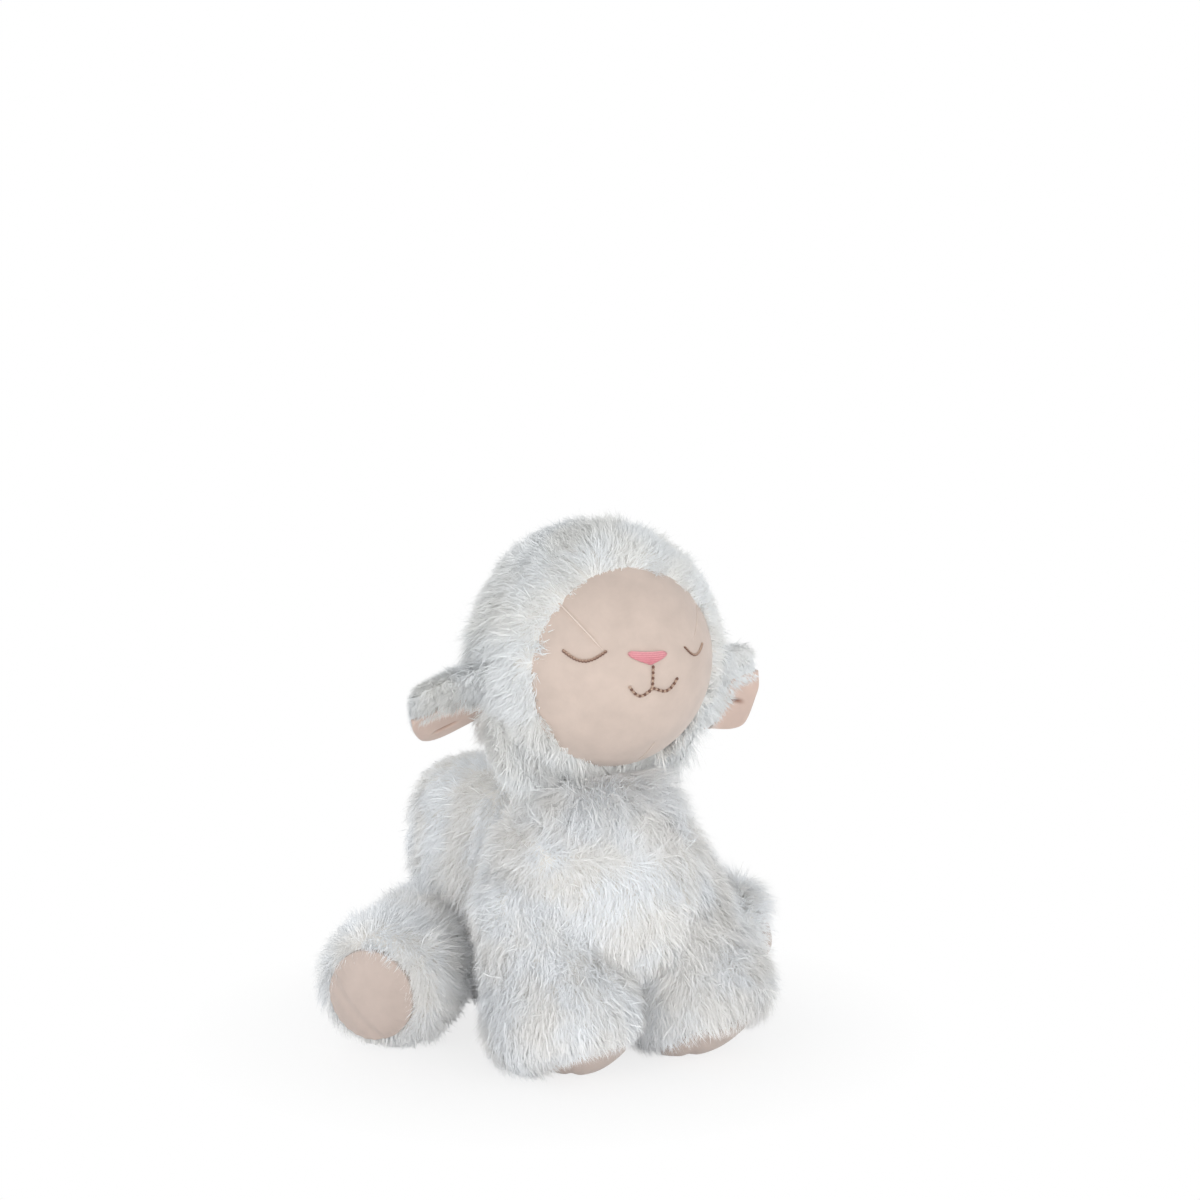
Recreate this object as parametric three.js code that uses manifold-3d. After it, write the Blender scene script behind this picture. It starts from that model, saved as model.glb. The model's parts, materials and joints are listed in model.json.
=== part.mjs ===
// Plush sheep, sitting low with its legs splayed, in millimetres.
// +Z is up, the sheep faces -Y and its own left side is +X. It stands on Z = 0.
import * as THREE from "three";
import { ConvexGeometry } from "three/addons/geometries/ConvexGeometry.js";
import { mergeVertices } from "three/addons/utils/BufferGeometryUtils.js";
import Module from "manifold-3d";

const wasm = await Module();
wasm.setup();

// Clearances, cloth and cuts
const seat = 0.3; // between pieces that touch
const play = 0.6; // between pieces that move past each other
const neckGap = 0.9; // round the neck, on which the head turns
const slack = 3; // between stuffing and a limb that moves beside it
const pile = 10; // wool pile with its backing
const velboa = 2; // short pile cloth of the face
const standingCut = 1.5; // how far the round of the rump would reach under the ground
const overrun = 20; // how far a cutting shape runs past its work

// Torso: a chest egg, a rump egg and a croup egg that flow into each other
const chestWide = 101;
const chestDeep = 94;
const chestTall = 98;
const chestAboveGround = 73;
const chestBack = 2;
const rumpWide = 94;
const rumpDeep = 104;
const rumpTall = 110;
const chestToRump = 80;
const rumpAside = 5; // the body bends a little to its left
const croupWide = 82;
const croupDeep = 104;
const croupTall = 70;
const croupPastRump = 5;
const croupTop = 117;
const eggPower = 2; // roundness of the chest and the rump: 2 is an ellipse, more is squarer
const croupPower = 3; // and of the croup
const heartBack = 46; // the point inside all three eggs that the torso is measured from
const heartAboveGround = 68;
const flow = 10; // a higher power keeps the waist between the eggs deeper
const halvings = 24; // of the way along a ray, until it ends on the surface

// Neck dome, whose centre is the pivot of the head
const neckRadius = 37;
const neckPivotAboveGround = 96;
const neckHole = 15; // radius of the stuffing's way through the neck

// Head
const headWide = 110;
const crownTall = 57; // above the middle of the head
const jowlTall = 66; // below it
const headAboveGround = 174.5;
const crownPower = 2.1; // roundness of the upper half: 2 is an ellipse, more is squarer
const jowlPower = 2.6; // and of the lower half
const headTurnDegrees = -4; // turned a little to its own right

// Face panel, part of a ball a little below the middle of the head
const hoodThick = 7.5; // wool panel beside the ball of the face
const hoodRim = 12.5; // wool panel from the outline of the head to the edge of the face
const hoodRimTall = 18.5; // the same above and below
const faceRadius = headWide / 2 - hoodThick;
const faceWide = headWide - 2 * hoodRim;
const faceTall = crownTall + jowlTall - 2 * hoodRimTall;
const faceDrop = 2.2; // middle of the face ball below the middle of the head
const faceSeam = 16; // how far the edge of the face lies ahead of the middle of its ball
const hoodEdge = 0.6; // wool edge outside the edge of the face cloth
const hoodFlareDegrees = 19; // the wool leans away from the face

// Stitched features, placed in degrees round and up from the middle of the face ball
const threadRadius = 0.8;
const eyeInnerDegrees = 22.5;
const eyeOuterDegrees = 42.5;
const eyeHeightDegrees = 9.5;
const eyeSagDegrees = 5.2;
const noseWide = 17;
const noseTall = 5;
const noseThick = 1.4;
const noseCorner = 1;
const noseHeightDegrees = 6.3;
const noseAsideDegrees = -1.5;
const mouthHalfDegrees = 14;
const mouthTopDegrees = 1.5;
const mouthCornerDegrees = -7.5;
const mouthLowDegrees = -13.2;
const mouthMiddleDegrees = -10.8;
const mouthAsideDegrees = 1.5;

// Ears
const earLength = 39;
const earWide = 36;
const earThick = 17;
const earRoot = 15; // radius of the ball at the root
const earTip = 8;
const earOut = 45; // pivot from the middle plane
const earBack = 7;
const earAboveGround = 162;
const earDroopDegrees = 23;
const earSweepDegrees = 10; // turned back
const earRollDegrees = 50; // lining turned down from straight ahead
const earCloth = 1.6;
const earPocketWide = 28;
const earPocketLong = 29;
const earPocketDeep = 9;
const earUpDegrees = 15;
const earDownDegrees = 25;

// Forelegs
const forelegLength = 65;
const forelegRoot = 27;
const forelegCalf = 30;
const forelegFoot = 34;
const forelegOut = 30;
const forelegBack = 1;
const forelegPivotAboveGround = 66;
const forelegDroopDegrees = 64;
const forelegLeftSplayDegrees = 22;
const forelegRightSplayDegrees = -3;
const forelegCrease = 3; // where the forelegs meet, from the middle plane
const forelegForwardDegrees = 20;
const forelegBackwardDegrees = 8;

// Hind legs
const hindlegLength = 73;
const hindlegRoot = 28;
const hindlegCalf = 29;
const hindlegFoot = 32.5;
const hindlegOut = 40; // pivot from the middle of the rump
const rumpTurnDegrees = 16; // the left hip is turned forward, the right one back
const hindlegPivotAboveGround = 31.5;
const hindlegDroopDegrees = 6;
const hindlegLeftSplayDegrees = 61;
const hindlegRightSplayDegrees = 47;
const hindlegFlat = 29.5; // half the height of the foot, pressed by its weight
const hindlegLift = 3; // wool stands higher above the foot than under it
const hindlegInwardDegrees = 7;
const hindlegOutwardDegrees = 15;

// Where along a limb its radii are reached, and how its end rounds off
const calfShare = 0.42;
const footShare = 0.74;
const shoulderShare = 0.9;
const shoulderPlaceShare = 0.92;

// Soles
const foreSoleRadius = 20;
const hindSoleRadius = 22.5;
const soleBulge = 6;
const soleThick = 3;

// Tail
const tailLength = 30;
const tailRoot = 11;
const tailMiddle = 13;
const tailTip = 8;
const tailCloth = 4;
const tailRiseDegrees = 25;
const tailIn = 6; // pivot inside the back of the rump
const tailAboveGround = 78;
const tailWagDegrees = 25;

// Range of the head
const nodDownDegrees = 15;
const nodUpDegrees = 10;
const headSwivelDegrees = 35; // to each side

// Fineness of the round surfaces
const bodyAroundSteps = 24;
const bodyAlongSteps = 14;
const innerAroundSteps = 16;
const innerAlongSteps = 10;
const headAroundSteps = 24;
const headAlongSteps = 14;
const neckAroundSteps = 20;
const neckAlongSteps = 12;
const roomAroundSteps = 16;
const roomAlongSteps = 12;
const legAroundSteps = 16;
const profileSteps = 6;
const rootSteps = 4;
const smallAroundSteps = 12;
const smallAlongSteps = 8;
const threadSides = 3;
const threadSteps = 8;
const sweepPitchDegrees = 14; // between the places of a turning shape
const curveSteps = 6;

// Derived places
const rumpBack = chestBack + chestToRump;
const croupBack = rumpBack + croupPastRump;
const rumpAboveGround = rumpTall / 2 - standingCut;
const head = new THREE.Vector3(0, 0, headAboveGround);
const faceBall = new THREE.Vector3(0, 0, headAboveGround - faceDrop);
const neckPivot = new THREE.Vector3(0, 0, neckPivotAboveGround);
const tailPivot = new THREE.Vector3(
  rumpAside, rumpBack + rumpDeep / 2 - tailIn, tailAboveGround,
);
const xAxis = new THREE.Vector3(1, 0, 0);
const yAxis = new THREE.Vector3(0, 1, 0);
const zAxis = new THREE.Vector3(0, 0, 1);
const radians = THREE.MathUtils.degToRad;
const sidewaysDegrees = 90; // a quarter turn
const backwardDegrees = 180;

// Materials
const wool = cloth(0xdcdbd6, 0.95);
const headWool = cloth(0xd6d6d3, 0.95);
const facing = cloth(0xd8c6ba, 0.8);
const lining = cloth(0xd3bdaf, 0.8);
const stuffing = cloth(0xf2f1ec, 1);
const brownThread = cloth(0x6d4c3c, 0.6);
const pinkThread = cloth(0xde9a9f, 0.5);

function cloth(color, roughness) {
  return new THREE.MeshStandardMaterial({ color, roughness, metalness: 0 });
}

// A geometry with nothing but its points and faces.
function onlyPoints(geometry) {
  const plain = new THREE.BufferGeometry();
  plain.setAttribute("position", geometry.attributes.position);
  plain.setIndex(geometry.index);
  return plain;
}

// A closed geometry as a solid that can be joined and cut.
function solid(geometry) {
  const merged = mergeVertices(onlyPoints(geometry));
  return new wasm.Manifold(
    new wasm.Mesh({
      numProp: 3,
      vertProperties: new Float32Array(merged.attributes.position.array),
      triVerts: new Uint32Array(merged.index.array),
    }),
  );
}

// The largest body of a solid, without the crumbs that a cut leaves.
function largest(made) {
  return made.decompose().reduce((a, b) => (b.volume() > a.volume() ? b : a));
}

// A named mesh whose geometry is written in the frame of the group that holds it.
function piece(name, made, material, frame) {
  const data = largest(made).getMesh();
  const geometry = new THREE.BufferGeometry();
  const positions = new THREE.BufferAttribute(new Float32Array(data.vertProperties), 3);
  geometry.setAttribute("position", positions);
  geometry.setIndex(new THREE.BufferAttribute(new Uint32Array(data.triVerts), 1));
  geometry.applyMatrix4(frame.clone().invert());
  geometry.computeVertexNormals();
  const mesh = new THREE.Mesh(geometry, material);
  mesh.name = name;
  return mesh;
}

// A group placed by a frame, with its pieces.
function bodyGroup(frame, meshes) {
  const group = new THREE.Group();
  frame.decompose(group.position, group.quaternion, group.scale);
  group.add(...meshes);
  return group;
}

// An egg whose half axes are given, at its place.
function egg(centre, rx, ry, rz, around = headAroundSteps, along = headAlongSteps) {
  const geometry = new THREE.SphereGeometry(1, around, along);
  geometry.scale(rx, ry, rz);
  geometry.translate(centre.x, centre.y, centre.z);
  return solid(geometry);
}

// A box between two corners.
function block(low, high) {
  const span = high.clone().sub(low);
  const geometry = new THREE.BoxGeometry(span.x, span.y, span.z);
  const middle = low.clone().add(high).multiplyScalar(1 / 2);
  geometry.translate(middle.x, middle.y, middle.z);
  return solid(geometry);
}

// A box wider than the sheep that reaches from one height up, or down, without end.
const far = 2 * headAboveGround;

function below(height) {
  return block(new THREE.Vector3(-far, -far, -far), new THREE.Vector3(far, far, height));
}

function above(height) {
  return block(new THREE.Vector3(-far, -far, height), new THREE.Vector3(far, far, far));
}

function rightOf(x) {
  return block(new THREE.Vector3(-far, -far, -far), new THREE.Vector3(x, far, far));
}

function leftOf(x) {
  return block(new THREE.Vector3(x, -far, -far), new THREE.Vector3(far, far, far));
}

// A geometry turned and moved by a frame.
function placed(geometry, frame) {
  return solid(geometry.clone().applyMatrix4(frame));
}

// The convex room that a shape takes while it turns about a pivot between two angles.
function sweep(geometry, pivot, axis, from, to) {
  const corners = [];
  const steps = Math.ceil((to - from) / sweepPitchDegrees);
  for (let i = 0; i <= steps; i++) {
    const angle = radians(from + ((to - from) * i) / steps);
    const turn = new THREE.Matrix4().makeTranslation(pivot);
    turn.multiply(new THREE.Matrix4().makeRotationAxis(axis, angle));
    turn.multiply(new THREE.Matrix4().makeTranslation(pivot.clone().negate()));
    const turned = mergeVertices(onlyPoints(geometry.clone().applyMatrix4(turn)));
    const points = turned.attributes.position;
    for (let k = 0; k < points.count; k++) {
      corners.push(new THREE.Vector3().fromBufferAttribute(points, k));
    }
  }
  return new ConvexGeometry(corners);
}

// Distance from a point inside an egg to its surface, along a direction.
function reach(from, direction, centre, half, power) {
  let inside = 0;
  let outside = far;
  const at = new THREE.Vector3();
  for (let i = 0; i < halvings; i++) {
    const middle = (inside + outside) / 2;
    at.copy(direction).multiplyScalar(middle).add(from).sub(centre).divide(half);
    const level = Math.abs(at.x) ** power + Math.abs(at.y) ** power + Math.abs(at.z) ** power;
    if (level > 1) outside = middle;
    else inside = middle;
  }
  return inside;
}

// The torso: each ray from its heart ends where the eggs, softly joined, end.
function torsoForm(inset, around = bodyAroundSteps, along = bodyAlongSteps) {
  const croupAboveGround = croupTop - croupTall / 2;
  const eggs = [
    [0, chestBack, chestAboveGround, chestWide, chestDeep, chestTall, eggPower],
    [rumpAside, rumpBack, rumpAboveGround, rumpWide, rumpDeep, rumpTall, eggPower],
    [rumpAside, croupBack, croupAboveGround, croupWide, croupDeep, croupTall, croupPower],
  ];
  const heart = new THREE.Vector3(0, heartBack, heartAboveGround);
  const geometry = new THREE.SphereGeometry(1, around, along);
  const points = geometry.attributes.position;
  const ray = new THREE.Vector3();
  for (let i = 0; i < points.count; i++) {
    ray.fromBufferAttribute(points, i).normalize();
    const reaches = eggs.map(([aside, back, up, wide, deep, tall, power]) => {
      const centre = new THREE.Vector3(aside, back, up);
      const half = new THREE.Vector3(wide, deep, tall).multiplyScalar(1 / 2);
      return reach(heart, ray, centre, half, power);
    });
    const joined = reaches.reduce((sum, one) => sum + one ** flow, 0) ** (1 / flow);
    ray.multiplyScalar(joined - inset).add(heart);
    points.setXYZ(i, ray.x, ray.y, ray.z);
  }
  return solid(geometry);
}

// The head: an egg whose lower half is longer and fuller than its crown.
function headGeometry(grow, around, along) {
  const geometry = new THREE.SphereGeometry(1, around, along);
  geometry.rotateX(Math.PI / 2);
  const points = geometry.attributes.position;
  const ray = new THREE.Vector3();
  for (let i = 0; i < points.count; i++) {
    ray.fromBufferAttribute(points, i);
    const upper = ray.z > 0;
    const power = upper ? crownPower : jowlPower;
    const level = Math.hypot(ray.x, ray.y);
    const length = (level ** power + Math.abs(ray.z) ** power) ** (-1 / power);
    const across = length * (headWide / 2 + grow);
    const upright = length * ((upper ? crownTall : jowlTall) + grow);
    points.setXYZ(i, ray.x * across, ray.y * across, ray.z * upright);
  }
  return geometry.translate(head.x, head.y, head.z);
}

// A limb along +Y from its pivot at zero: a ball root, a swelling shaft and a rounded end.
function limbGeometry(limb, grow, around = legAroundSteps, rings = profileSteps) {
  const outline = [new THREE.Vector2(0, -limb.root - grow)];
  for (let i = 1; i < rootSteps; i++) {
    const angle = (Math.PI / 2) * (i / rootSteps);
    const radius = limb.root + grow;
    outline.push(new THREE.Vector2(radius * Math.sin(angle), -radius * Math.cos(angle)));
  }
  const end = limb.length + grow;
  const side = new THREE.SplineCurve([
    new THREE.Vector2(limb.root + grow, 0),
    new THREE.Vector2(limb.calf + grow, limb.length * calfShare),
    new THREE.Vector2(limb.foot + grow, limb.length * footShare),
    new THREE.Vector2(limb.foot * shoulderShare + grow, limb.length * shoulderPlaceShare),
    new THREE.Vector2(limb.mouth + grow, end),
  ]);
  outline.push(...side.getPoints(rings), new THREE.Vector2(0, end));
  const geometry = new THREE.LatheGeometry(outline, around);
  geometry.scale(1, 1, limb.flat);
  return geometry.translate(0, 0, limb.lift);
}

// The round tube of stuffing inside a limb, between two places along it.
function coreGeometry(limb, inset, from, to) {
  const outline = [
    new THREE.Vector2(0, from),
    new THREE.Vector2(limb.core - inset, from),
    new THREE.Vector2(limb.core - inset, to),
    new THREE.Vector2(0, to),
  ];
  const geometry = new THREE.LatheGeometry(outline, legAroundSteps);
  geometry.scale(1, 1, limb.flat);
  return geometry;
}

// The sole: a domed cap that closes the foot.
function soleGeometry(limb) {
  const rim = limb.core - seat;
  const dome = (rim * rim + soleBulge * soleBulge) / (2 * soleBulge);
  const span = Math.asin(rim / dome);
  const outline = [new THREE.Vector2(0, limb.length - soleThick)];
  outline.push(new THREE.Vector2(rim, limb.length - soleThick));
  for (let i = 0; i < rootSteps; i++) {
    const angle = span * (1 - i / rootSteps);
    const height = limb.length + soleBulge - dome * (1 - Math.cos(angle));
    outline.push(new THREE.Vector2(dome * Math.sin(angle), height));
  }
  outline.push(new THREE.Vector2(0, limb.length + soleBulge));
  const geometry = new THREE.LatheGeometry(outline, legAroundSteps);
  geometry.scale(1, 1, limb.flat);
  return geometry;
}

// The frame of a limb: +Y runs from the pivot to the foot.
function limbFrame(pivot, splay, droop) {
  const direction = new THREE.Vector3(
    Math.sin(radians(splay)) * Math.cos(radians(droop)),
    -Math.cos(radians(splay)) * Math.cos(radians(droop)),
    -Math.sin(radians(droop)),
  );
  const across = new THREE.Vector3().crossVectors(direction, zAxis).normalize();
  const upward = new THREE.Vector3().crossVectors(across, direction);
  const frame = new THREE.Matrix4().makeBasis(across, direction, upward);
  return frame.setPosition(pivot);
}

// A leg: a wool bag open at the foot, its stuffing and the sole that closes it.
function leg(name, limb, pivot, splay, droop, limits) {
  const frame = limbFrame(pivot, splay, droop);
  const bore = placed(coreGeometry(limb, 0, 0, limb.length + overrun), frame);
  const floor = below(0);
  let skin = placed(limbGeometry(limb, 0), frame).subtract(bore).subtract(floor);
  let fill = placed(
    coreGeometry(limb, seat, seat, limb.length - soleThick - seat),
    frame,
  ).intersect(placed(limbGeometry(limb, -seat), frame)).subtract(floor);
  const sole = placed(soleGeometry(limb), frame).subtract(floor);
  if (limits.beside) {
    skin = skin.subtract(limits.beside);
    fill = fill.subtract(limits.beside);
  }
  const swing = (geometry) => solid(
    sweep(geometry.applyMatrix4(frame), pivot, limits.axis, limits.from, limits.to),
  );
  const room = swing(limbGeometry(limb, play));
  const wideRoom = swing(limbGeometry(limb, slack, roomAroundSteps, rootSteps));
  const group = bodyGroup(frame, [
    piece(name + "_skin", skin, wool, frame),
    piece(name + "_stuffing", fill, stuffing, frame),
    piece(name + "_sole", sole, facing, frame),
  ]);
  return { group, room, wideRoom };
}

const foreLimb = {
  length: forelegLength, root: forelegRoot, calf: forelegCalf, foot: forelegFoot,
  mouth: foreSoleRadius, core: foreSoleRadius, flat: 1, lift: 0,
};
const hindLimb = {
  length: hindlegLength, root: hindlegRoot, calf: hindlegCalf, foot: hindlegFoot,
  mouth: hindSoleRadius, core: hindSoleRadius, flat: hindlegFlat / hindlegFoot,
  lift: hindlegLift,
};

const forelegLeft = leg(
  "foreleg_left", foreLimb,
  new THREE.Vector3(forelegOut, forelegBack, forelegPivotAboveGround),
  forelegLeftSplayDegrees, forelegDroopDegrees,
  { axis: xAxis, from: -forelegForwardDegrees, to: forelegBackwardDegrees,
    beside: rightOf(forelegCrease + play / 2) },
);
const forelegRight = leg(
  "foreleg_right", foreLimb,
  new THREE.Vector3(-forelegOut, forelegBack, forelegPivotAboveGround),
  -forelegRightSplayDegrees, forelegDroopDegrees,
  { axis: xAxis, from: -forelegForwardDegrees, to: forelegBackwardDegrees,
    beside: leftOf(forelegCrease - play / 2) },
);
const hindlegLeft = leg(
  "hindleg_left", hindLimb, hip(1), hindlegLeftSplayDegrees, hindlegDroopDegrees,
  { axis: zAxis, from: -hindlegInwardDegrees, to: hindlegOutwardDegrees },
);
const hindlegRight = leg(
  "hindleg_right", hindLimb, hip(-1), -hindlegRightSplayDegrees, hindlegDroopDegrees,
  { axis: zAxis, from: -hindlegOutwardDegrees, to: hindlegInwardDegrees },
);

function hip(side) {
  return new THREE.Vector3(
    rumpAside + side * hindlegOut * Math.cos(radians(rumpTurnDegrees)),
    rumpBack - side * hindlegOut * Math.sin(radians(rumpTurnDegrees)),
    hindlegPivotAboveGround,
  );
}

const legs = [forelegLeft, forelegRight, hindlegLeft, hindlegRight];

// The tail: a small wool tuft with its stuffing, rising from the back of the rump.
function tail() {
  const limb = {
    length: tailLength, root: tailRoot, calf: tailMiddle, foot: tailMiddle,
    mouth: tailTip, core: tailRoot - tailCloth, flat: 1, lift: 0,
  };
  const frame = limbFrame(tailPivot, backwardDegrees, -tailRiseDegrees);
  const core = placed(coreGeometry(limb, 0, -limb.root - overrun, limb.length - tailCloth), frame);
  const skin = placed(limbGeometry(limb, 0), frame).subtract(core);
  const fill = placed(
    coreGeometry(limb, seat, 0, limb.length - tailCloth - seat), frame,
  );
  const swing = (geometry) =>
    solid(sweep(geometry.applyMatrix4(frame), tailPivot, zAxis, -tailWagDegrees, tailWagDegrees));
  const room = swing(limbGeometry(limb, play));
  const wideRoom = swing(limbGeometry(limb, slack, roomAroundSteps, rootSteps));
  const group = bodyGroup(frame, [
    piece("tail_skin", skin, wool, frame),
    piece("tail_stuffing", fill, stuffing, frame),
  ]);
  return { group, room, wideRoom };
}

const sheepTail = tail();

// The torso: two wool panels that meet on the middle seam, and the stuffing.
function torso() {
  const socket = neckBall(neckGap).intersect(above(neckPivotAboveGround - play));
  const inner = (inset) => torsoForm(inset, innerAroundSteps, innerAlongSteps);
  let skin = torsoForm(0).subtract(inner(pile)).subtract(below(0)).subtract(socket);
  let fill = inner(pile + seat).subtract(below(pile)).subtract(socket);
  const nodding = sweep(
    headGeometry(slack, roomAroundSteps, roomAlongSteps),
    neckPivot, xAxis, -nodUpDegrees, nodDownDegrees,
  );
  skin = skin.subtract(solid(sweep(nodding, neckPivot, zAxis, -headSwivelDegrees, headSwivelDegrees)));
  for (const limb of [...legs, sheepTail]) {
    skin = skin.subtract(limb.room);
    fill = fill.subtract(limb.wideRoom);
  }
  const frame = new THREE.Matrix4();
  return bodyGroup(frame, [
    piece("body_panel_left", skin.subtract(rightOf(seat / 2)), wool, frame),
    piece("body_panel_right", skin.subtract(leftOf(-seat / 2)), wool, frame),
    piece("body_stuffing", fill, stuffing, frame),
  ]);
}

// A ball about the neck's pivot, larger or smaller than the neck.
function neckBall(grow) {
  const radius = neckRadius + grow;
  return egg(neckPivot, radius, radius, radius, neckAroundSteps, neckAlongSteps);
}

// The neck: a wool dome over a plug of firm stuffing, on which the head turns and nods.
function neck() {
  const dome = neckBall(0);
  const inner = neckBall(-pile);
  const hole = new THREE.CylinderGeometry(neckHole, neckHole, 2 * neckRadius + overrun, legAroundSteps);
  hole.rotateX(Math.PI / 2);
  hole.translate(neckPivot.x, neckPivot.y, neckPivot.z);
  const base = below(neckPivotAboveGround);
  const plug = neckBall(-pile - seat);
  const frame = new THREE.Matrix4().makeTranslation(neckPivot);
  return bodyGroup(frame, [
    piece("neck_skin", dome.subtract(inner).subtract(solid(hole)).subtract(base), wool, frame),
    piece("neck_stuffing", plug.subtract(base), stuffing, frame),
  ]);
}

// A point on the face ball, in degrees round and up from its middle, raised off the cloth.
function onFace(round, up, raised) {
  const radius = faceRadius + raised;
  return new THREE.Vector3(
    radius * Math.sin(radians(round)) * Math.cos(radians(up)),
    -radius * Math.cos(radians(round)) * Math.cos(radians(up)),
    radius * Math.sin(radians(up)),
  ).add(faceBall);
}

// A run of thread that lies on the face through the points given.
function thread(places) {
  const points = places.map(([round, up]) => onFace(round, up, seat + threadRadius));
  const section = new THREE.Shape();
  section.absarc(0, 0, threadRadius, 0, 2 * Math.PI, false);
  const geometry = new THREE.ExtrudeGeometry(section, {
    steps: threadSteps,
    curveSegments: threadSides,
    bevelEnabled: false,
    extrudePath: new THREE.CatmullRomCurve3(points),
  });
  return solid(geometry);
}

// A closed eye: one thread that sags between its inner and its outer corner.
function eye(side) {
  const places = [];
  for (let i = 0; i <= curveSteps; i++) {
    const share = i / curveSteps;
    const sag = eyeSagDegrees * Math.sin(Math.PI * share);
    const round = eyeInnerDegrees + (eyeOuterDegrees - eyeInnerDegrees) * share;
    places.push([side * round, eyeHeightDegrees - sag]);
  }
  return thread(places);
}

// The mouth: a stem under the nose, and a smile that curls up on each side of it.
function mouth() {
  const smile = (side) => {
    const places = [];
    for (let i = 0; i <= curveSteps; i++) {
      const share = i / curveSteps;
      const start = mouthMiddleDegrees * (1 - share) + mouthCornerDegrees * share;
      const depth = start - mouthLowDegrees;
      const round = mouthAsideDegrees + side * mouthHalfDegrees * share;
      places.push([round, start - depth * Math.sin(Math.PI * share)]);
    }
    return thread(places);
  };
  const stem = thread([
    [mouthAsideDegrees / 2, mouthTopDegrees],
    [mouthAsideDegrees, (mouthTopDegrees + mouthMiddleDegrees) / 2],
    [mouthAsideDegrees, mouthMiddleDegrees],
  ]);
  return stem.add(smile(1)).add(smile(-1));
}

// The nose: a rounded triangle of satin stitches, point down, bent over the face ball.
function nose() {
  const half = noseWide / 2 - noseCorner;
  const outline = new THREE.Shape();
  outline.moveTo(-half, noseTall / 2);
  outline.lineTo(half, noseTall / 2);
  outline.quadraticCurveTo(noseWide / 2, noseTall / 2, half, noseTall / 2 - 2 * noseCorner);
  outline.lineTo(noseCorner, -noseTall / 2);
  outline.quadraticCurveTo(0, -noseTall / 2 - noseCorner, -noseCorner, -noseTall / 2);
  outline.lineTo(-half, noseTall / 2 - 2 * noseCorner);
  outline.quadraticCurveTo(-noseWide / 2, noseTall / 2, -half, noseTall / 2);
  const geometry = new THREE.ExtrudeGeometry(outline, {
    depth: faceRadius + overrun,
    curveSegments: smallAlongSteps,
    bevelEnabled: false,
  });
  geometry.rotateX(Math.PI / 2);
  const middle = onFace(noseAsideDegrees, noseHeightDegrees, 0);
  geometry.translate(middle.x, 0, middle.z);
  const low = faceRadius + seat;
  const high = low + noseThick;
  return solid(geometry)
    .intersect(egg(faceBall, high, high, high))
    .subtract(egg(faceBall, low, low, low));
}

// An ear: a wool leaf with a pocket in its lower front, lined with short pile cloth.
function ear(side) {
  const frame = limbFrame(
    new THREE.Vector3(side * earOut, earBack, earAboveGround),
    side * (sidewaysDegrees + earSweepDegrees), earDroopDegrees,
  );
  frame.multiply(new THREE.Matrix4().makeRotationY(radians(side * (earRollDegrees - sidewaysDegrees))));
  const leaf = (grow, around = legAroundSteps, rings = profileSteps) => {
    const limb = {
      length: earLength, root: earRoot, calf: earWide / 2, foot: earWide / 2,
      mouth: earTip, core: 0, flat: 1, lift: 0,
    };
    const geometry = limbGeometry(limb, grow, around, rings);
    return geometry.scale(1, 1, (earThick / 2 + grow) / (earWide / 2 + grow));
  };
  const pocketAt = new THREE.Vector3(0, earLength / 2 + earRoot / 2, -earThick / 2);
  const pocket = (inset) => {
    const geometry = new THREE.SphereGeometry(1, smallAroundSteps, smallAlongSteps);
    geometry.scale(earPocketWide / 2 - inset, earPocketLong / 2 - inset, earPocketDeep - inset);
    return geometry.translate(pocketAt.x, pocketAt.y, pocketAt.z);
  };
  const whole = placed(leaf(0), frame);
  const cup = placed(pocket(seat), frame).intersect(placed(leaf(-seat), frame));
  const skin = whole.subtract(placed(pocket(0), frame));
  const liningCup = cup.subtract(placed(pocket(seat + earCloth), frame));
  const pivot = new THREE.Vector3().setFromMatrixPosition(frame);
  const from = side > 0 ? -earUpDegrees : -earDownDegrees;
  const to = side > 0 ? earDownDegrees : earUpDegrees;
  const swing = (geometry) =>
    solid(sweep(geometry.applyMatrix4(frame), pivot, yAxis, from, to));
  const room = swing(leaf(play));
  const wideRoom = swing(leaf(slack, roomAroundSteps, rootSteps));
  const name = side > 0 ? "left" : "right";
  const group = bodyGroup(frame, [
    piece("ear_" + name + "_back", skin, headWool, frame),
    piece("ear_" + name + "_lining", liningCup, lining, frame),
  ]);
  return { group, room, wideRoom };
}

// A round cut in front of the head, as wide as the face and flaring forward.
function faceOpening(grow, flare) {
  const deep = headWide;
  const spread = 1 + (deep * Math.tan(radians(flare))) / (faceWide / 2);
  const geometry = new THREE.CylinderGeometry(1, spread, deep, headAroundSteps);
  geometry.translate(0, -deep / 2, 0);
  geometry.scale(faceWide / 2 + grow, 1, faceTall / 2 + grow);
  return solid(geometry.translate(faceBall.x, faceBall.y - faceSeam, faceBall.z));
}

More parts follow.
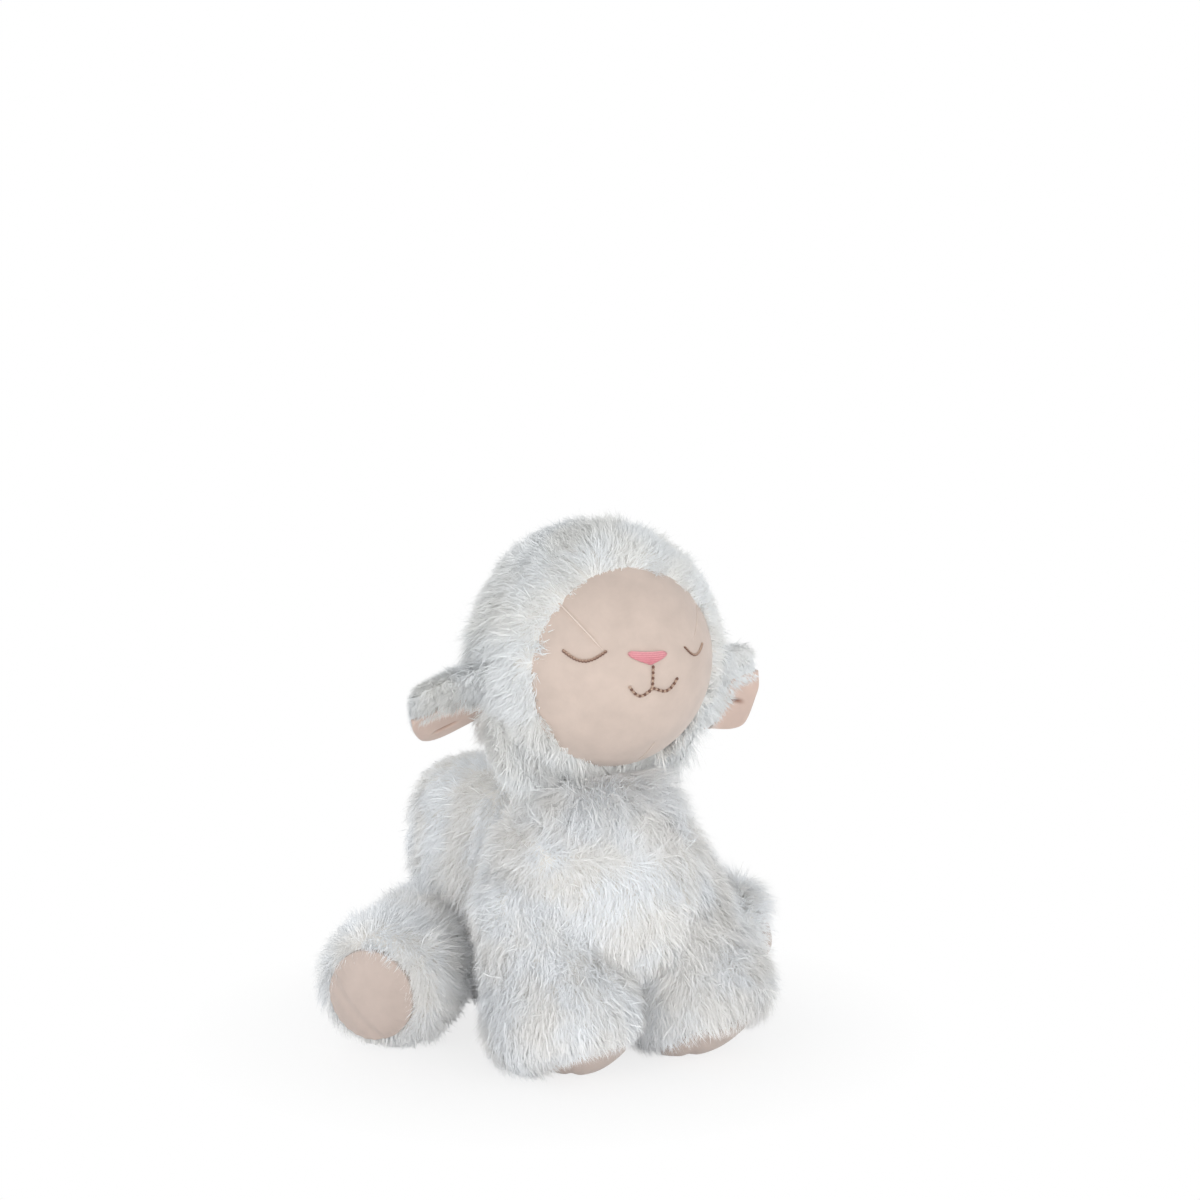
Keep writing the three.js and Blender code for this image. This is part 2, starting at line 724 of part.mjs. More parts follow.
// The head: two wool hood panels, the face panel with its stitches, and the stuffing.
function sheepHead() {
  const ball = (radius) => egg(faceBall, radius, radius, radius);
  const socket = neckBall(neckGap);
  const inner = faceRadius - velboa;
  let hood = solid(headGeometry(0, bodyAroundSteps, bodyAlongSteps)).subtract(ball(inner));
  hood = hood.subtract(socket);
  hood = hood.subtract(faceOpening(hoodEdge, hoodFlareDegrees));
  for (const one of ears) hood = hood.subtract(one.room);
  let filling = ball(inner - seat).subtract(socket);
  for (const one of ears) filling = filling.subtract(one.wideRoom);
  const face = ball(faceRadius).subtract(ball(inner)).intersect(faceOpening(0, 0));
  const frame = new THREE.Matrix4().makeTranslation(neckPivot);
  return bodyGroup(frame, [
    piece("head_panel_left", hood.subtract(rightOf(seat / 2)), headWool, frame),
    piece("head_panel_right", hood.subtract(leftOf(-seat / 2)), headWool, frame),
    piece("face_panel", face.subtract(socket), facing, frame),
    piece("head_stuffing", filling, stuffing, frame),
    piece("eye_stitch_left", eye(1), brownThread, frame),
    piece("eye_stitch_right", eye(-1), brownThread, frame),
    piece("nose_stitch", nose(), pinkThread, frame),
    piece("mouth_stitch", mouth(), brownThread, frame),
  ]);
}

const ears = [ear(1), ear(-1)];
const turned = new THREE.Group();
turned.rotation.z = radians(headTurnDegrees);
turned.add(sheepHead(), ...ears.map((one) => one.group));

const sheep = new THREE.Group();
sheep.add(turned, torso(), neck(), sheepTail.group, ...legs.map((one) => one.group));

// The origin is the middle of the sheep's box, on the ground.
sheep.updateMatrixWorld(true);
const box = new THREE.Box3().setFromObject(sheep, true);
sheep.position.set(-(box.min.x + box.max.x) / 2, -(box.min.y + box.max.y) / 2, -box.min.z);

export default sheep;
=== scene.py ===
"""A plush sheep in long white wool, sitting with its legs splayed.

Lengths are in millimetres in the sheep's own frame, whose Z axis runs through the
middle of the head, until mesh_piece() moves them to the model's frame in metres.
"""

import json
import math

import bpy
import numpy as np
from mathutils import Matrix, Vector


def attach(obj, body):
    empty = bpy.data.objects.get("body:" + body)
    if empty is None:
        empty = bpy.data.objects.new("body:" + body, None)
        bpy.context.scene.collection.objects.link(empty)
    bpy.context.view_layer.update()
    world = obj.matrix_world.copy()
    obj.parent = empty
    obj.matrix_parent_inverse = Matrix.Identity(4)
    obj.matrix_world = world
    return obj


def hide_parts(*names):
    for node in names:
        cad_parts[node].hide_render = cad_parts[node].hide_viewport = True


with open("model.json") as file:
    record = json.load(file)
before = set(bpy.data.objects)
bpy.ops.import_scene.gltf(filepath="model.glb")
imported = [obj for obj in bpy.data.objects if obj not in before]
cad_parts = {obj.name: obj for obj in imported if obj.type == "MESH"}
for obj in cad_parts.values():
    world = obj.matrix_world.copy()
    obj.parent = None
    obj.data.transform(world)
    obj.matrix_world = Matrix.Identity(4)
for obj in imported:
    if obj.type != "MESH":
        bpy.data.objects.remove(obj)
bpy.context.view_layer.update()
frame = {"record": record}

JOINTS = {joint["name"]: joint for joint in frame["record"]["behaviour"]["joints"]}
NECK = np.array([0.0, 0.0, 96.0])
SHIFT = np.array(JOINTS["head_turn"]["pos_m"]) * 1000 - NECK
X, Y, Z = np.eye(3)

# Sizes of the forms under the wool, as in the solids.
CHEST = ((0, 2, 73), (101, 94, 98), 2)
RUMP = ((5, 82, 53.5), (94, 104, 110), 2)
CROUP = ((5, 87, 82), (82, 104, 70), 3)
HEART = np.array([0.0, 46.0, 68.0])
FLOW = 10
HEAD = np.array([0.0, 0.0, 174.5])
HEAD_WIDE, CROWN_TALL, JOWL_TALL = 110, 57, 66
HEAD_TURN = math.radians(-4)
FACE = np.array([0.0, 0.0, 172.3])
FACE_RADIUS = 47.5
FACE_HALF, FACE_HIGH, FACE_LIFT = 40.7, 41.2, -3.0
EAR_LONG, EAR_WIDE, EAR_THICK = 39, 36, 17

# The wool. Its backing cloth lies this much under the middle of the pile.
BACKING = 4.0
# How many strands each piece of wool has. A real pile has far more and finer fibres.
STRANDS = {"hood": 34000, "body": 34000, "leg": 25000, "ear": 17000, "neck": 10000, "tail": 7000}
# The widths of the strands with a knee and of the straight ones, and the share of the first.
THICK, FINE = 0.46, 0.35
KNEED_SHARE = 0.22
# How the strands stray from the way they are combed: in waves, each with its strength and
# period, one by one at random, and how much of all this is pressed flat.
STRAY = ((0.4, 24), (0.45, 11))
JITTER = 0.42
PRESSED = 0.5
# How many strands gather in a tuft, how far their tips move to its middle, the share of
# them that stay out of it, and how far a blade turns about its own line.
STRANDS_IN_TUFT = 60
GATHER = 0.4
LOOSE_SHARE = 0.12
BLADE_TURN = 0.12
# How far the roots of straight strands are set back, as a share of the length.
SET_BACK = 0.4
NECK_BALL = 31

# The photograph's camera: its turn from the front, how far away and how high it is, and
# the height that it looks at.
CAMERA_LENS = 64.3
CAMERA_TURN = math.radians(-30)
CAMERA_AWAY, CAMERA_HIGH, CAMERA_AIM = 900, 285, 196

# The strength of the sky's light at the horizon and well above it.
SKY_LOW, SKY_HIGH = 1.25, 0.45
# Each lamp: where it stands in metres, its width, its power and its colour.
LAMPS = {
    "key": ((-0.6, -1.4, 0.28), 1.0, 9.0, (1.0, 0.985, 0.965)),
    "fill": ((1.2, -1.1, 0.2), 1.2, 2.5, (0.98, 0.99, 1.0)),
    "side": ((-1.5, -0.4, 0.25), 1.0, 1.5, (0.98, 0.99, 1.0)),
    "back": ((0.3, 1.5, 0.6), 1.2, 7.0, (1.0, 1.0, 1.0)),
}


def linear(hex_colour):
    """An sRGB hex colour as linear red, green, blue and alpha."""
    parts = [int(hex_colour[i:i + 2], 16) / 255 for i in (1, 3, 5)]
    return [c / 12.92 if c <= 0.04045 else ((c + 0.055) / 1.055) ** 2.4 for c in parts] + [1]


def unit(vectors):
    """Each vector divided by its length."""
    return vectors / np.maximum(np.linalg.norm(vectors, axis=-1, keepdims=True), 1e-9)


def turned(points, angle=HEAD_TURN):
    """Points turned about the Z axis by an angle."""
    c, s = math.cos(angle), math.sin(angle)
    return np.stack([
        points[..., 0] * c - points[..., 1] * s,
        points[..., 0] * s + points[..., 1] * c,
        points[..., 2],
    ], axis=-1)


# Forms: each gives points for directions or for places along and around it.


def reach(rays, egg):
    """Distance from the heart along each ray to a superellipsoid, found by halving."""
    centre, size, power = egg
    inside, outside = np.zeros(len(rays)), np.full(len(rays), 400.0)
    for _ in range(26):
        middle = (inside + outside) / 2
        at = (HEART + rays * middle[:, None] - centre) / (np.array(size) / 2)
        out = (np.abs(at) ** power).sum(1) > 1
        outside = np.where(out, middle, outside)
        inside = np.where(out, inside, middle)
    return inside


def torso_reach(rays):
    """Power mean, without the division, of the rays' distances to the three eggs."""
    return sum(reach(rays, egg) ** FLOW for egg in (CHEST, RUMP, CROUP)) ** (1 / FLOW)


def ball_rays(u, v, pole=Z):
    """Unit vectors for u from pole to pole and v once around."""
    polar, turn = np.pi * u, 2 * np.pi * v
    a = unit(np.cross(pole, [1.0, 0.3, 0.2]))
    b = np.cross(pole, a)
    ring = np.cos(turn)[:, None] * a + np.sin(turn)[:, None] * b
    return np.cos(polar)[:, None] * pole + np.sin(polar)[:, None] * ring


def torso_form(inset):
    """The torso as a surface of u and v, drawn in by inset along its rays."""
    def surface(u, v):
        rays = ball_rays(u, v, Z)
        return HEART + rays * (torso_reach(rays) - inset)[:, None]
    return surface


def in_torso(points, grow=0):
    """Whether points lie in the torso, made larger by grow."""
    away = points - HEART
    far = np.linalg.norm(away, axis=1)
    return far < torso_reach(unit(away)) + grow


def head_level(rays):
    """Distance from the head's middle to its surface: two half superellipsoids."""
    upper = rays[:, 2] > 0
    power = np.where(upper, 2.1, 2.6)
    level = np.hypot(rays[:, 0], rays[:, 1]) / (HEAD_WIDE / 2)
    height = np.abs(rays[:, 2]) / np.where(upper, CROWN_TALL, JOWL_TALL)
    return (level ** power + height ** power) ** (-1 / power)


def face_reach(rays):
    """Distance from the head's middle to the ball of the face, near enough for cloth."""
    return FACE_RADIUS + (FACE[2] - HEAD[2]) * rays[:, 2]


def past_face(points):
    """How far points of the face's ball lie outside the outline that the wool leaves."""
    across = points[:, 0] / FACE_HALF
    up = (points[:, 2] - FACE[2] - FACE_LIFT) / FACE_HIGH
    past = (np.hypot(across, up) - 1) * FACE_HALF
    return np.where(points[:, 1] < 0, past, 200)


def hood_form(inset):
    """The head drawn in by inset. Round the face it starts from the ball of the face and
    rises to its full height, so that the wool grows right from the edge of the face."""
    def surface(u, v):
        rays = ball_rays(u, v, -Y)
        ball = face_reach(rays)
        past = past_face(HEAD + rays * ball[:, None])
        rim = ball - np.where(past < 0, 4, 1) + 0.75 * np.maximum(past, 0)
        far = np.minimum(head_level(rays) - inset, rim)
        return HEAD + rays * far[:, None]
    return surface


def on_rim(points):
    """How far points of the hood lie outside the outline of the face, along the ball."""
    rays = unit(points - HEAD)
    return past_face(HEAD + rays * face_reach(rays)[:, None])


def in_head(points, grow=0):
    """Whether points lie in the head, made larger by grow."""
    away = points - HEAD
    return np.linalg.norm(away, axis=1) < head_level(unit(away)) + grow


class Limb:
    """A turned limb: a ball root, a swelling side and a rounded end along its own Y."""

    def __init__(self, pivot, splay, droop, long, root, calf, foot, mouth,
                 flat=1.0, lift=0.0, roll=0.0, ankle=0.9):
        splay, droop, roll = (math.radians(a) for a in (splay, droop, roll))
        self.way = np.array([
            math.sin(splay) * math.cos(droop),
            -math.cos(splay) * math.cos(droop),
            -math.sin(droop),
        ])
        across = unit(np.cross(self.way, Z))
        upward = np.cross(across, self.way)
        self.across = across * math.cos(roll) - upward * math.sin(roll)
        self.upward = upward * math.cos(roll) + across * math.sin(roll)
        self.pivot = np.array(pivot, float)
        self.long, self.root, self.mouth = long, root, mouth
        self.flat, self.lift = flat, lift
        angle = np.linspace(0, np.pi / 2, 12)[:-1]
        side = self.spline([
            (root, 0), (calf, long * 0.42), (foot, long * 0.74),
            (foot * ankle, long * 0.92), (mouth, long),
        ])
        radii = np.concatenate([root * np.sin(angle), side[:, 0], [0]])
        places = np.concatenate([-root * np.cos(angle), side[:, 1], [long]])
        steps = np.hypot(np.diff(radii), np.diff(places))
        self.share = np.concatenate([[0], np.cumsum(steps)]) / steps.sum()
        self.radii, self.places = radii, places

    @staticmethod
    def spline(knots, steps=10):
        """A Catmull-Rom curve through knots, its ends repeated."""
        k = np.array([knots[0], *knots, knots[-1]], float)
        t = np.linspace(0, 1, steps, endpoint=False)[:, None]
        parts = []
        for a, b, c, d in zip(k[:-3], k[1:-2], k[2:-1], k[3:]):
            parts.append(b + t * ((c - a) / 2 + t * (
                a - 2.5 * b + 2 * c - d / 2 + t * (1.5 * (b - c) + (d - a) / 2))))
        return np.concatenate([*parts, k[-1:]])

    def world(self, x, y, z):
        """Places in the limb's own axes as points of the sheep."""
        own = np.stack([x, y, z], axis=-1)
        return self.pivot + own @ np.stack([self.across, self.way, self.upward])

    def own(self, points):
        """Points of the sheep in the limb's own axes."""
        return (points - self.pivot) @ np.stack([self.across, self.way, self.upward]).T

    def form(self, inset):
        """The limb drawn in by inset: its profile, u along it, turned by v around it."""
        def surface(u, v):
            radius = np.interp(u, self.share, self.radii)
            place = np.interp(u, self.share, self.places)
            radius = radius * (1 - inset / self.radii.max())
            place = place * (1 - inset / self.long)
            turn = 2 * np.pi * v
            return self.world(
                radius * np.cos(turn), place,
                radius * np.sin(turn) * self.flat + self.lift,
            )
        return surface

    def holds(self, points, grow=0):
        """Whether points lie in the limb, made larger by grow."""
        own = self.own(points)
        side = np.interp(own[:, 1], self.places, self.radii, left=0, right=0) + grow
        inside = np.hypot(own[:, 0], (own[:, 2] - self.lift) / self.flat) < side
        return inside & (own[:, 1] > -self.root - grow) & (own[:, 1] < self.long + grow)


def in_limbs(limbs, points, grow):
    """Whether points lie in one of some limbs, made larger by grow."""
    return np.any([limb.holds(points, grow) for limb in limbs.values()], axis=0)


def hip(side):
    """The pivot of a hind leg: the left hip is turned forward, the right one back."""
    turn = math.radians(16)
    return (5 + side * 40 * math.cos(turn), 82 - side * 40 * math.sin(turn), 31.5)


FORE = dict(long=65, root=27, calf=30, foot=34, mouth=20)
HIND = dict(long=73, root=28, calf=29, foot=32.5, mouth=22.5, flat=29.5 / 32.5, lift=3)
LEGS = {
    "foreleg_left": Limb((30, 1, 66), 22, 64, **FORE),
    "foreleg_right": Limb((-30, 1, 66), 3, 64, **FORE),
    "hindleg_left": Limb(hip(1), 61, 6, **HIND),
    "hindleg_right": Limb(hip(-1), -47, 6, **HIND),
}
# Each sole's pad: its middle across and up from the leg's line, its half width and height.
PADS = {
    "foreleg_left": (4.0, 0, 19.5, 19.5),
    "foreleg_right": (-6.5, 0, 16, 16),
    "hindleg_left": (0, 0, 14, 14),
    "hindleg_right": (1.5, -0.5, 18, 21),
}
# How far the wool of each leg is combed towards its sole, or away from it, and how long
# the wool is and how far it stands.
SWEEP = {"foreleg_left": 0.7, "foreleg_right": 0.7, "hindleg_left": -0.5, "hindleg_right": -0.5}
LOFT = {
    "foreleg_left": (12.5, 0.35),
    "foreleg_right": (11.5, 0.3),
    "hindleg_left": (14.5, 0.4),
    "hindleg_right": (12, 0.3),
}
TAIL = Limb((5, 128, 78), 180, -25, 30, 11, 13, 13, 8)
SIGNS = {"left": 1, "right": -1}
# How each ear lies: the height of its root, its droop, its roll, half its width and how
# much of that is left near its tip.
EAR_SET = {"left": (154, 1, -80, 20, 0.84), "right": (161, 21, 40, 20.5, 0.78)}
EARS = {
    side: Limb(
        (SIGNS[side] * 45, 7, high), SIGNS[side] * 100, droop, EAR_LONG,
        16, half - 1, half, 4, flat=EAR_THICK / EAR_WIDE, roll=roll, ankle=tip,
    )
    for side, (high, droop, roll, half, tip) in EAR_SET.items()
}
# How high the lining of each ear shows at its root, twice on the way and at its tip. Where
# the middle of its crease is, over the width and along, and how the crease slopes.
LINING = {"left": (-22, -21, 2, 5), "right": (0, 3, 4, 2)}
CREASE = {"left": (-5.5, 26, -0.25), "right": (-10.0, 25, -0.1)}


# Meshes


def mesh_piece(name, points, triangles, material, body, replaces, uv=None, share=None,
               smooth=10 ** 9):
    """Makes a mesh from arrays, in the model's frame, and lets it ride on its body. Only
    its first faces, as many as smooth says, are shaded smooth. The share of a point says how
    much it has of its material's second colour."""
    mesh = bpy.data.meshes.new(name)
    placed = (points + SHIFT) / 1000
    mesh.vertices.add(len(placed))
    mesh.vertices.foreach_set("co", placed.astype(np.float32).ravel())
    mesh.loops.add(3 * len(triangles))
    mesh.loops.foreach_set("vertex_index", triangles.astype(np.int32).ravel())
    mesh.polygons.add(len(triangles))
    mesh.polygons.foreach_set("loop_start", np.arange(0, 3 * len(triangles), 3, dtype=np.int32))
    mesh.polygons.foreach_set("use_smooth", np.arange(len(triangles)) < smooth)
    mesh.update(calc_edges=True)
    if share is not None:
        layer = mesh.attributes.new("share", "FLOAT", "POINT")
        layer.data.foreach_set("value", share.astype(np.float32))
    if uv is not None:
        layer = mesh.uv_layers.new(name="OFBake")
        layer.uv.foreach_set("vector", uv[triangles.ravel()].astype(np.float32).ravel())
    mesh.materials.append(material)
    piece = bpy.data.objects.new(name, mesh)
    bpy.context.scene.collection.objects.link(piece)
    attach(piece, body)
    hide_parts(*replaces)
    return piece


def grid(surface, rows, columns):
    """A closed surface of u and v: one point at each pole, rings of points between."""
    u = np.repeat(np.arange(1, rows) / rows, columns)
    v = np.tile(np.arange(columns) / columns, rows - 1)
    ends = surface(np.array([0.0, 1.0]), np.zeros(2))
    points = np.concatenate([surface(u, v), ends])
    ring = np.arange(columns)
    after = (ring + 1) % columns
    south, north = len(points) - 2, len(points) - 1
    faces = []
    for row in range(rows - 2):
        low, high = row * columns, (row + 1) * columns
        faces.append(np.stack([low + ring, high + ring, high + after], axis=1))
        faces.append(np.stack([low + ring, high + after, low + after], axis=1))
    last = (rows - 2) * columns
    faces.append(np.stack([np.full(columns, south), ring, after], axis=1))
    faces.append(np.stack([last + after, last + ring, np.full(columns, north)], axis=1))
    uv = np.stack([np.append(v, [0, 0]), np.append(u, [0, 1])], axis=1)
    return points, facing_out(points, np.concatenate(faces)), uv


def facing_out(points, faces):
    """The faces in the order that gives the closed mesh a positive volume."""
    a, b, c = (points[faces[:, i]] for i in range(3))
    volume = (a * np.cross(b, c)).sum()
    return faces if volume > 0 else faces[:, ::-1]


def wander(points, seed, period):
    """A smooth random vector field: a sum of sines of random directions."""
    rng = np.random.default_rng(seed)
    total = np.zeros((len(points), 3))
    for axis in range(3):
        for _ in range(4):
            wave = unit(rng.normal(size=3)) * 2 * np.pi / (period * rng.uniform(0.7, 1.4))
            total[:, axis] += np.sin(points @ wave + rng.uniform(0, 2 * np.pi))
    return total / 4


def roots_on(surface, keep, count, rng, rows=110, columns=170):
    """Random points on a surface, as many to each area, with their outward normals."""
    u, v = np.meshgrid(np.linspace(0.002, 0.998, rows), np.linspace(0, 1, columns), indexing="ij")
    p = surface(u.ravel(), v.ravel()).reshape(rows, columns, 3)
    along, around = p[1:, :-1] - p[:-1, :-1], p[:-1, 1:] - p[:-1, :-1]
    cross = np.cross(along, around)
    area = np.linalg.norm(cross, axis=-1)
    middle = p[:-1, :-1] + (along + around) / 2
    weight = (area * keep(middle.reshape(-1, 3)).reshape(area.shape)).ravel()
    centre = p.reshape(-1, 3).mean(0)
    outward = np.sign(((middle - centre) * cross).sum(-1).sum())
    cell = rng.choice(len(weight), count, p=weight / weight.sum())
    i, j = np.divmod(cell, columns - 1)
    s, t = rng.random(count)[:, None], rng.random(count)[:, None]
    roots = p[i, j] * (1 - s) * (1 - t) + p[i + 1, j] * s * (1 - t)
    roots += p[i, j + 1] * (1 - s) * t + p[i + 1, j + 1] * s * t
    normals = unit(cross[i, j] * outward)
    return roots, normals


def nearest(points, centres):
    """The index of the nearest centre for each point, in blocks to save memory."""
    found = np.empty(len(points), int)
    squares = (centres ** 2).sum(1)
    for start in range(0, len(points), 4000):
        block = points[start:start + 4000]
        found[start:start + 4000] = np.argmin(squares - 2 * block @ centres.T, axis=1)
    return found


def spines(roots, normals, lays, lengths, seed, stand, kneed):
    """The course of each strand as three points: root, knee and tip. A strand stands up
    from its root and leans over along its lay, and the tips are gathered into tufts. The
    first, as many as kneed says, have a knee; the others start further back instead."""
    rng = np.random.default_rng(seed)
    count = len(roots)
    stray = sum(
        amount * wander(roots, seed + 1 + i, period) for i, (amount, period) in enumerate(STRAY))
    lean = lays + stray + JITTER * rng.normal(size=(count, 3))
    lean = unit(lean - PRESSED * (lean * normals).sum(1, keepdims=True) * normals)
    reach_out = (lengths * rng.uniform(0.72, 1.12, count))[:, None]
    knee = roots + reach_out * 0.5 * unit((stand + 0.2) * normals + (0.8 - stand) * lean)
    tip = knee + reach_out * 0.5 * unit((stand - 0.1) * normals + (1.1 - stand) * lean)
    leaders = rng.choice(count, max(8, count // STRANDS_IN_TUFT), replace=False)
    mine = leaders[nearest(roots, roots[leaders])]
    swell = rng.uniform(0.85, 1.2, count)[mine][:, None]
    point = roots[mine] + (tip[mine] - roots[mine]) * swell
    pull = GATHER * rng.uniform(0.35, 1.0, (count, 1))
    pull = np.where(rng.random((count, 1)) < LOOSE_SHARE, 0.1, pull)
    tip = tip + pull * (point - tip)
    knee = knee + 0.45 * pull * (roots[mine] + 0.55 * (point - roots[mine]) - knee)
    back = np.where(np.arange(count) < kneed, 0, SET_BACK)[:, None] * reach_out * lean
    flat_back = back - (back * normals).sum(1, keepdims=True) * normals
    return np.stack([roots - 1.2 * normals - flat_back, knee, tip], axis=1)


def spikes(spine, normals, wide, rng, kneed):
    """Closed spikes along spines, straight ones or ones with a knee. Each is a flat blade
    of three edges, its broad side outward and turned a little at random, so that the pile
    takes the light as its surface does. Gives points, one spike's faces and shares."""
    count = len(spine)
    way = unit(spine[:, 2] - spine[:, 0])
    side = unit(np.cross(way, normals))
    inward = np.cross(way, side)
    turn = BLADE_TURN * rng.normal(size=(count, 1))
    half = wide * rng.uniform(0.35, 0.6, (count, 1))
    edge = half * (np.cos(turn) * side + np.sin(turn) * inward)
    keel = 0.5 * half * (np.cos(turn) * inward - np.sin(turn) * side)
    ring = np.stack([edge, keel, -edge], axis=1)
    # The shares run from 0.5 at the root to 1 at the tip, so the roots keep a little painted shade.
    if kneed:
        points = np.concatenate([spine[:, 0:1] + ring, spine[:, 1:2] + 0.85 * ring, spine[:, 2:]], 1)
        faces = [
            [0, 1, 4], [0, 4, 3], [1, 2, 5], [1, 5, 4], [2, 0, 3], [2, 3, 5],
            [3, 4, 6], [4, 5, 6], [5, 3, 6], [2, 1, 0],
        ]
        return points, np.array(faces), np.array([0.5, 0.5, 0.5, 0.8, 0.8, 0.8, 1.0])
    points = np.concatenate([spine[:, 0:1] + ring, spine[:, 2:]], axis=1)
    return points, np.array([[0, 1, 3], [1, 2, 3], [2, 0, 3], [2, 1, 0]]), np.array([0.5, 0.5, 0.5, 1.0])


def strands(roots, normals, lays, lengths, seed, stand):
    """The pile: thick strands with a knee and, between them, finer straight ones."""
    rng = np.random.default_rng(seed)
    cells = math.ceil(math.sqrt(len(roots)))
    split = round(len(roots) * KNEED_SHARE)
    course = spines(roots, normals, lays, lengths, seed, stand, split)
    parts, faces, shares, uv = [], [], [], []
    for kneed, chosen in ((True, slice(0, split)), (False, slice(split, None))):
        wide = THICK if kneed else FINE
        points, one, up = spikes(course[chosen], normals[chosen], wide, rng, kneed)
        count, size = points.shape[:2]
        offset = sum(len(p) for p in parts)
        parts.append(points.reshape(-1, 3))
        faces.append((one[None] + offset + size * np.arange(count)[:, None, None]).reshape(-1, 3))
        shares.append(np.tile(up, count))
        column, row = np.divmod(np.arange(count) + (0 if kneed else split), cells)
        inner = np.stack([0.1 + 0.4 * (np.arange(size) % 3), 0.1 + 0.8 * up], axis=1)
        place = (np.stack([column, row], axis=1)[:, None] + inner[None]) / cells
        uv.append((place * [1, 0.8] + [0, 0.2]).reshape(-1, 2))
    return tuple(np.concatenate(a) for a in (parts, faces, shares, uv))


def wool_piece(name, surface, keep, comb, count, body, replaces, material, seed,
               length, rows=60, columns=90, half=None, turn=0.0, stand=0.5):
    """A wool skin: its closed backing with the strands of its pile, one mesh. keep says
    where strands grow, comb which way they lie, length how long they are and stand how far
    they stand up. half is the side of a panel that ends on the middle seam."""
    rng = np.random.default_rng(seed)
    points, faces, uv = grid(surface, rows, columns)
    roots, normals = roots_on(surface, keep, count, rng)
    lays = comb(roots)
    lays = unit(lays - (lays * normals).sum(1, keepdims=True) * normals)
    lengths = length(roots) if callable(length) else np.full(count, length)
    stand = stand(roots)[:, None] if callable(stand) else stand
    hair = strands(roots, normals, lays, lengths, seed + 5, stand)
    if half is not None:
        points[:, 0] = np.where(points[:, 0] * half < 0.15, 0.15 * half, points[:, 0])
    all_points = np.concatenate([points, hair[0]])
    all_points[:, 2] = np.maximum(all_points[:, 2], 0.05)
    if turn:
        all_points = turned(all_points, turn)
    # The backing's share is 0: it takes the wool's painted root shade in full.
    return mesh_piece(
        name, all_points, np.concatenate([faces, hair[1] + len(points)]), material, body,
        replaces, uv=np.concatenate([uv * [1, 0.19], hair[3]]),
        share=np.concatenate([np.zeros(len(points)), hair[2]]), smooth=len(faces),
    )


# Materials


def add_node(tree, kind, links=None, **settings):
    """A node with its settings and its inputs: plain values are set, sockets are linked."""
    node = tree.nodes.new(kind)
    for key, value in settings.items():
        setattr(node, key, value)
    for key, value in (links or {}).items():
        if isinstance(value, bpy.types.NodeSocket):
            tree.links.new(value, node.inputs[key])
        else:
            node.inputs[key].default_value = value
    return node


def new_material(name):
    """An empty material and its node tree with the shader and the output."""
    material = bpy.data.materials.new(name)
    material.use_nodes = True
    tree = material.node_tree
    tree.nodes.clear()
    shader = add_node(tree, "ShaderNodeBsdfPrincipled")
    add_node(tree, "ShaderNodeOutputMaterial", {"Surface": shader.outputs[0]})
    return material, tree, shader


def mottled(tree, colour, noise, spread, low, high):
    """A colour whose brightness goes from low to high with a noise, 0.5 give or take spread."""
    level = add_node(tree, "ShaderNodeMapRange", {
        "Value": noise.outputs["Fac"], "From Min": 0.5 - spread, "From Max": 0.5 + spread,
        "To Min": low, "To Max": high})
    return add_node(tree, "ShaderNodeHueSaturation", {
        "Color": colour.outputs["Result"], "Value": level.outputs[0]}).outputs[0]


def two_colours(tree, first, second):
    """The place's first colour blended to its second by the mesh's share."""
    share = add_node(tree, "ShaderNodeAttribute", attribute_name="share")
    return add_node(tree, "ShaderNodeMix", {
        "Factor": share.outputs["Fac"], "A": linear(first), "B": linear(second),
    }, data_type="RGBA")


def acrylic_wool(name, warm, cool, painted_root_shade):
    """Acrylic plush pile, brushed: dull white fibres over a knitted backing, with faint broad
    patches, warmer and cooler, where the pile lies differently. The backing and the roots of
    the strands take a darker colour, painted shade deep in the pile."""
    material, tree, shader = new_material(name)
    share = add_node(tree, "ShaderNodeAttribute", attribute_name="share")
    # painted shade: the share, 0 on the backing and rising up each strand, blends from the darker root
    # colour to the tips' colour
    height = add_node(tree, "ShaderNodeMapRange", {
        "Value": share.outputs["Fac"], "From Min": 0.0, "From Max": 0.6})
    place = add_node(tree, "ShaderNodeTexCoord")
    patches = add_node(tree, "ShaderNodeTexNoise", {
        "Vector": place.outputs["Object"], "Scale": 45.0, "Detail": 3.0})
    side = add_node(tree, "ShaderNodeMapRange", {
        "Value": patches.outputs["Fac"], "From Min": 0.4, "From Max": 0.6})
    tips = add_node(tree, "ShaderNodeMix", {
        "Factor": side.outputs[0], "A": linear(warm), "B": linear(cool)}, data_type="RGBA")
    pile = add_node(tree, "ShaderNodeMix", {
        "Factor": height.outputs[0], "A": linear(painted_root_shade), "B": tips.outputs["Result"],
    }, data_type="RGBA")
    tree.links.new(mottled(tree, pile, patches, 0.15, 0.96, 1.01), shader.inputs["Base Color"])
    shader.inputs["Roughness"].default_value = 0.95
    shader.inputs["Specular IOR Level"].default_value = 0.1
    shader.inputs["Sheen Weight"].default_value = 0.3
    shader.inputs["Sheen Roughness"].default_value = 0.6
    return material


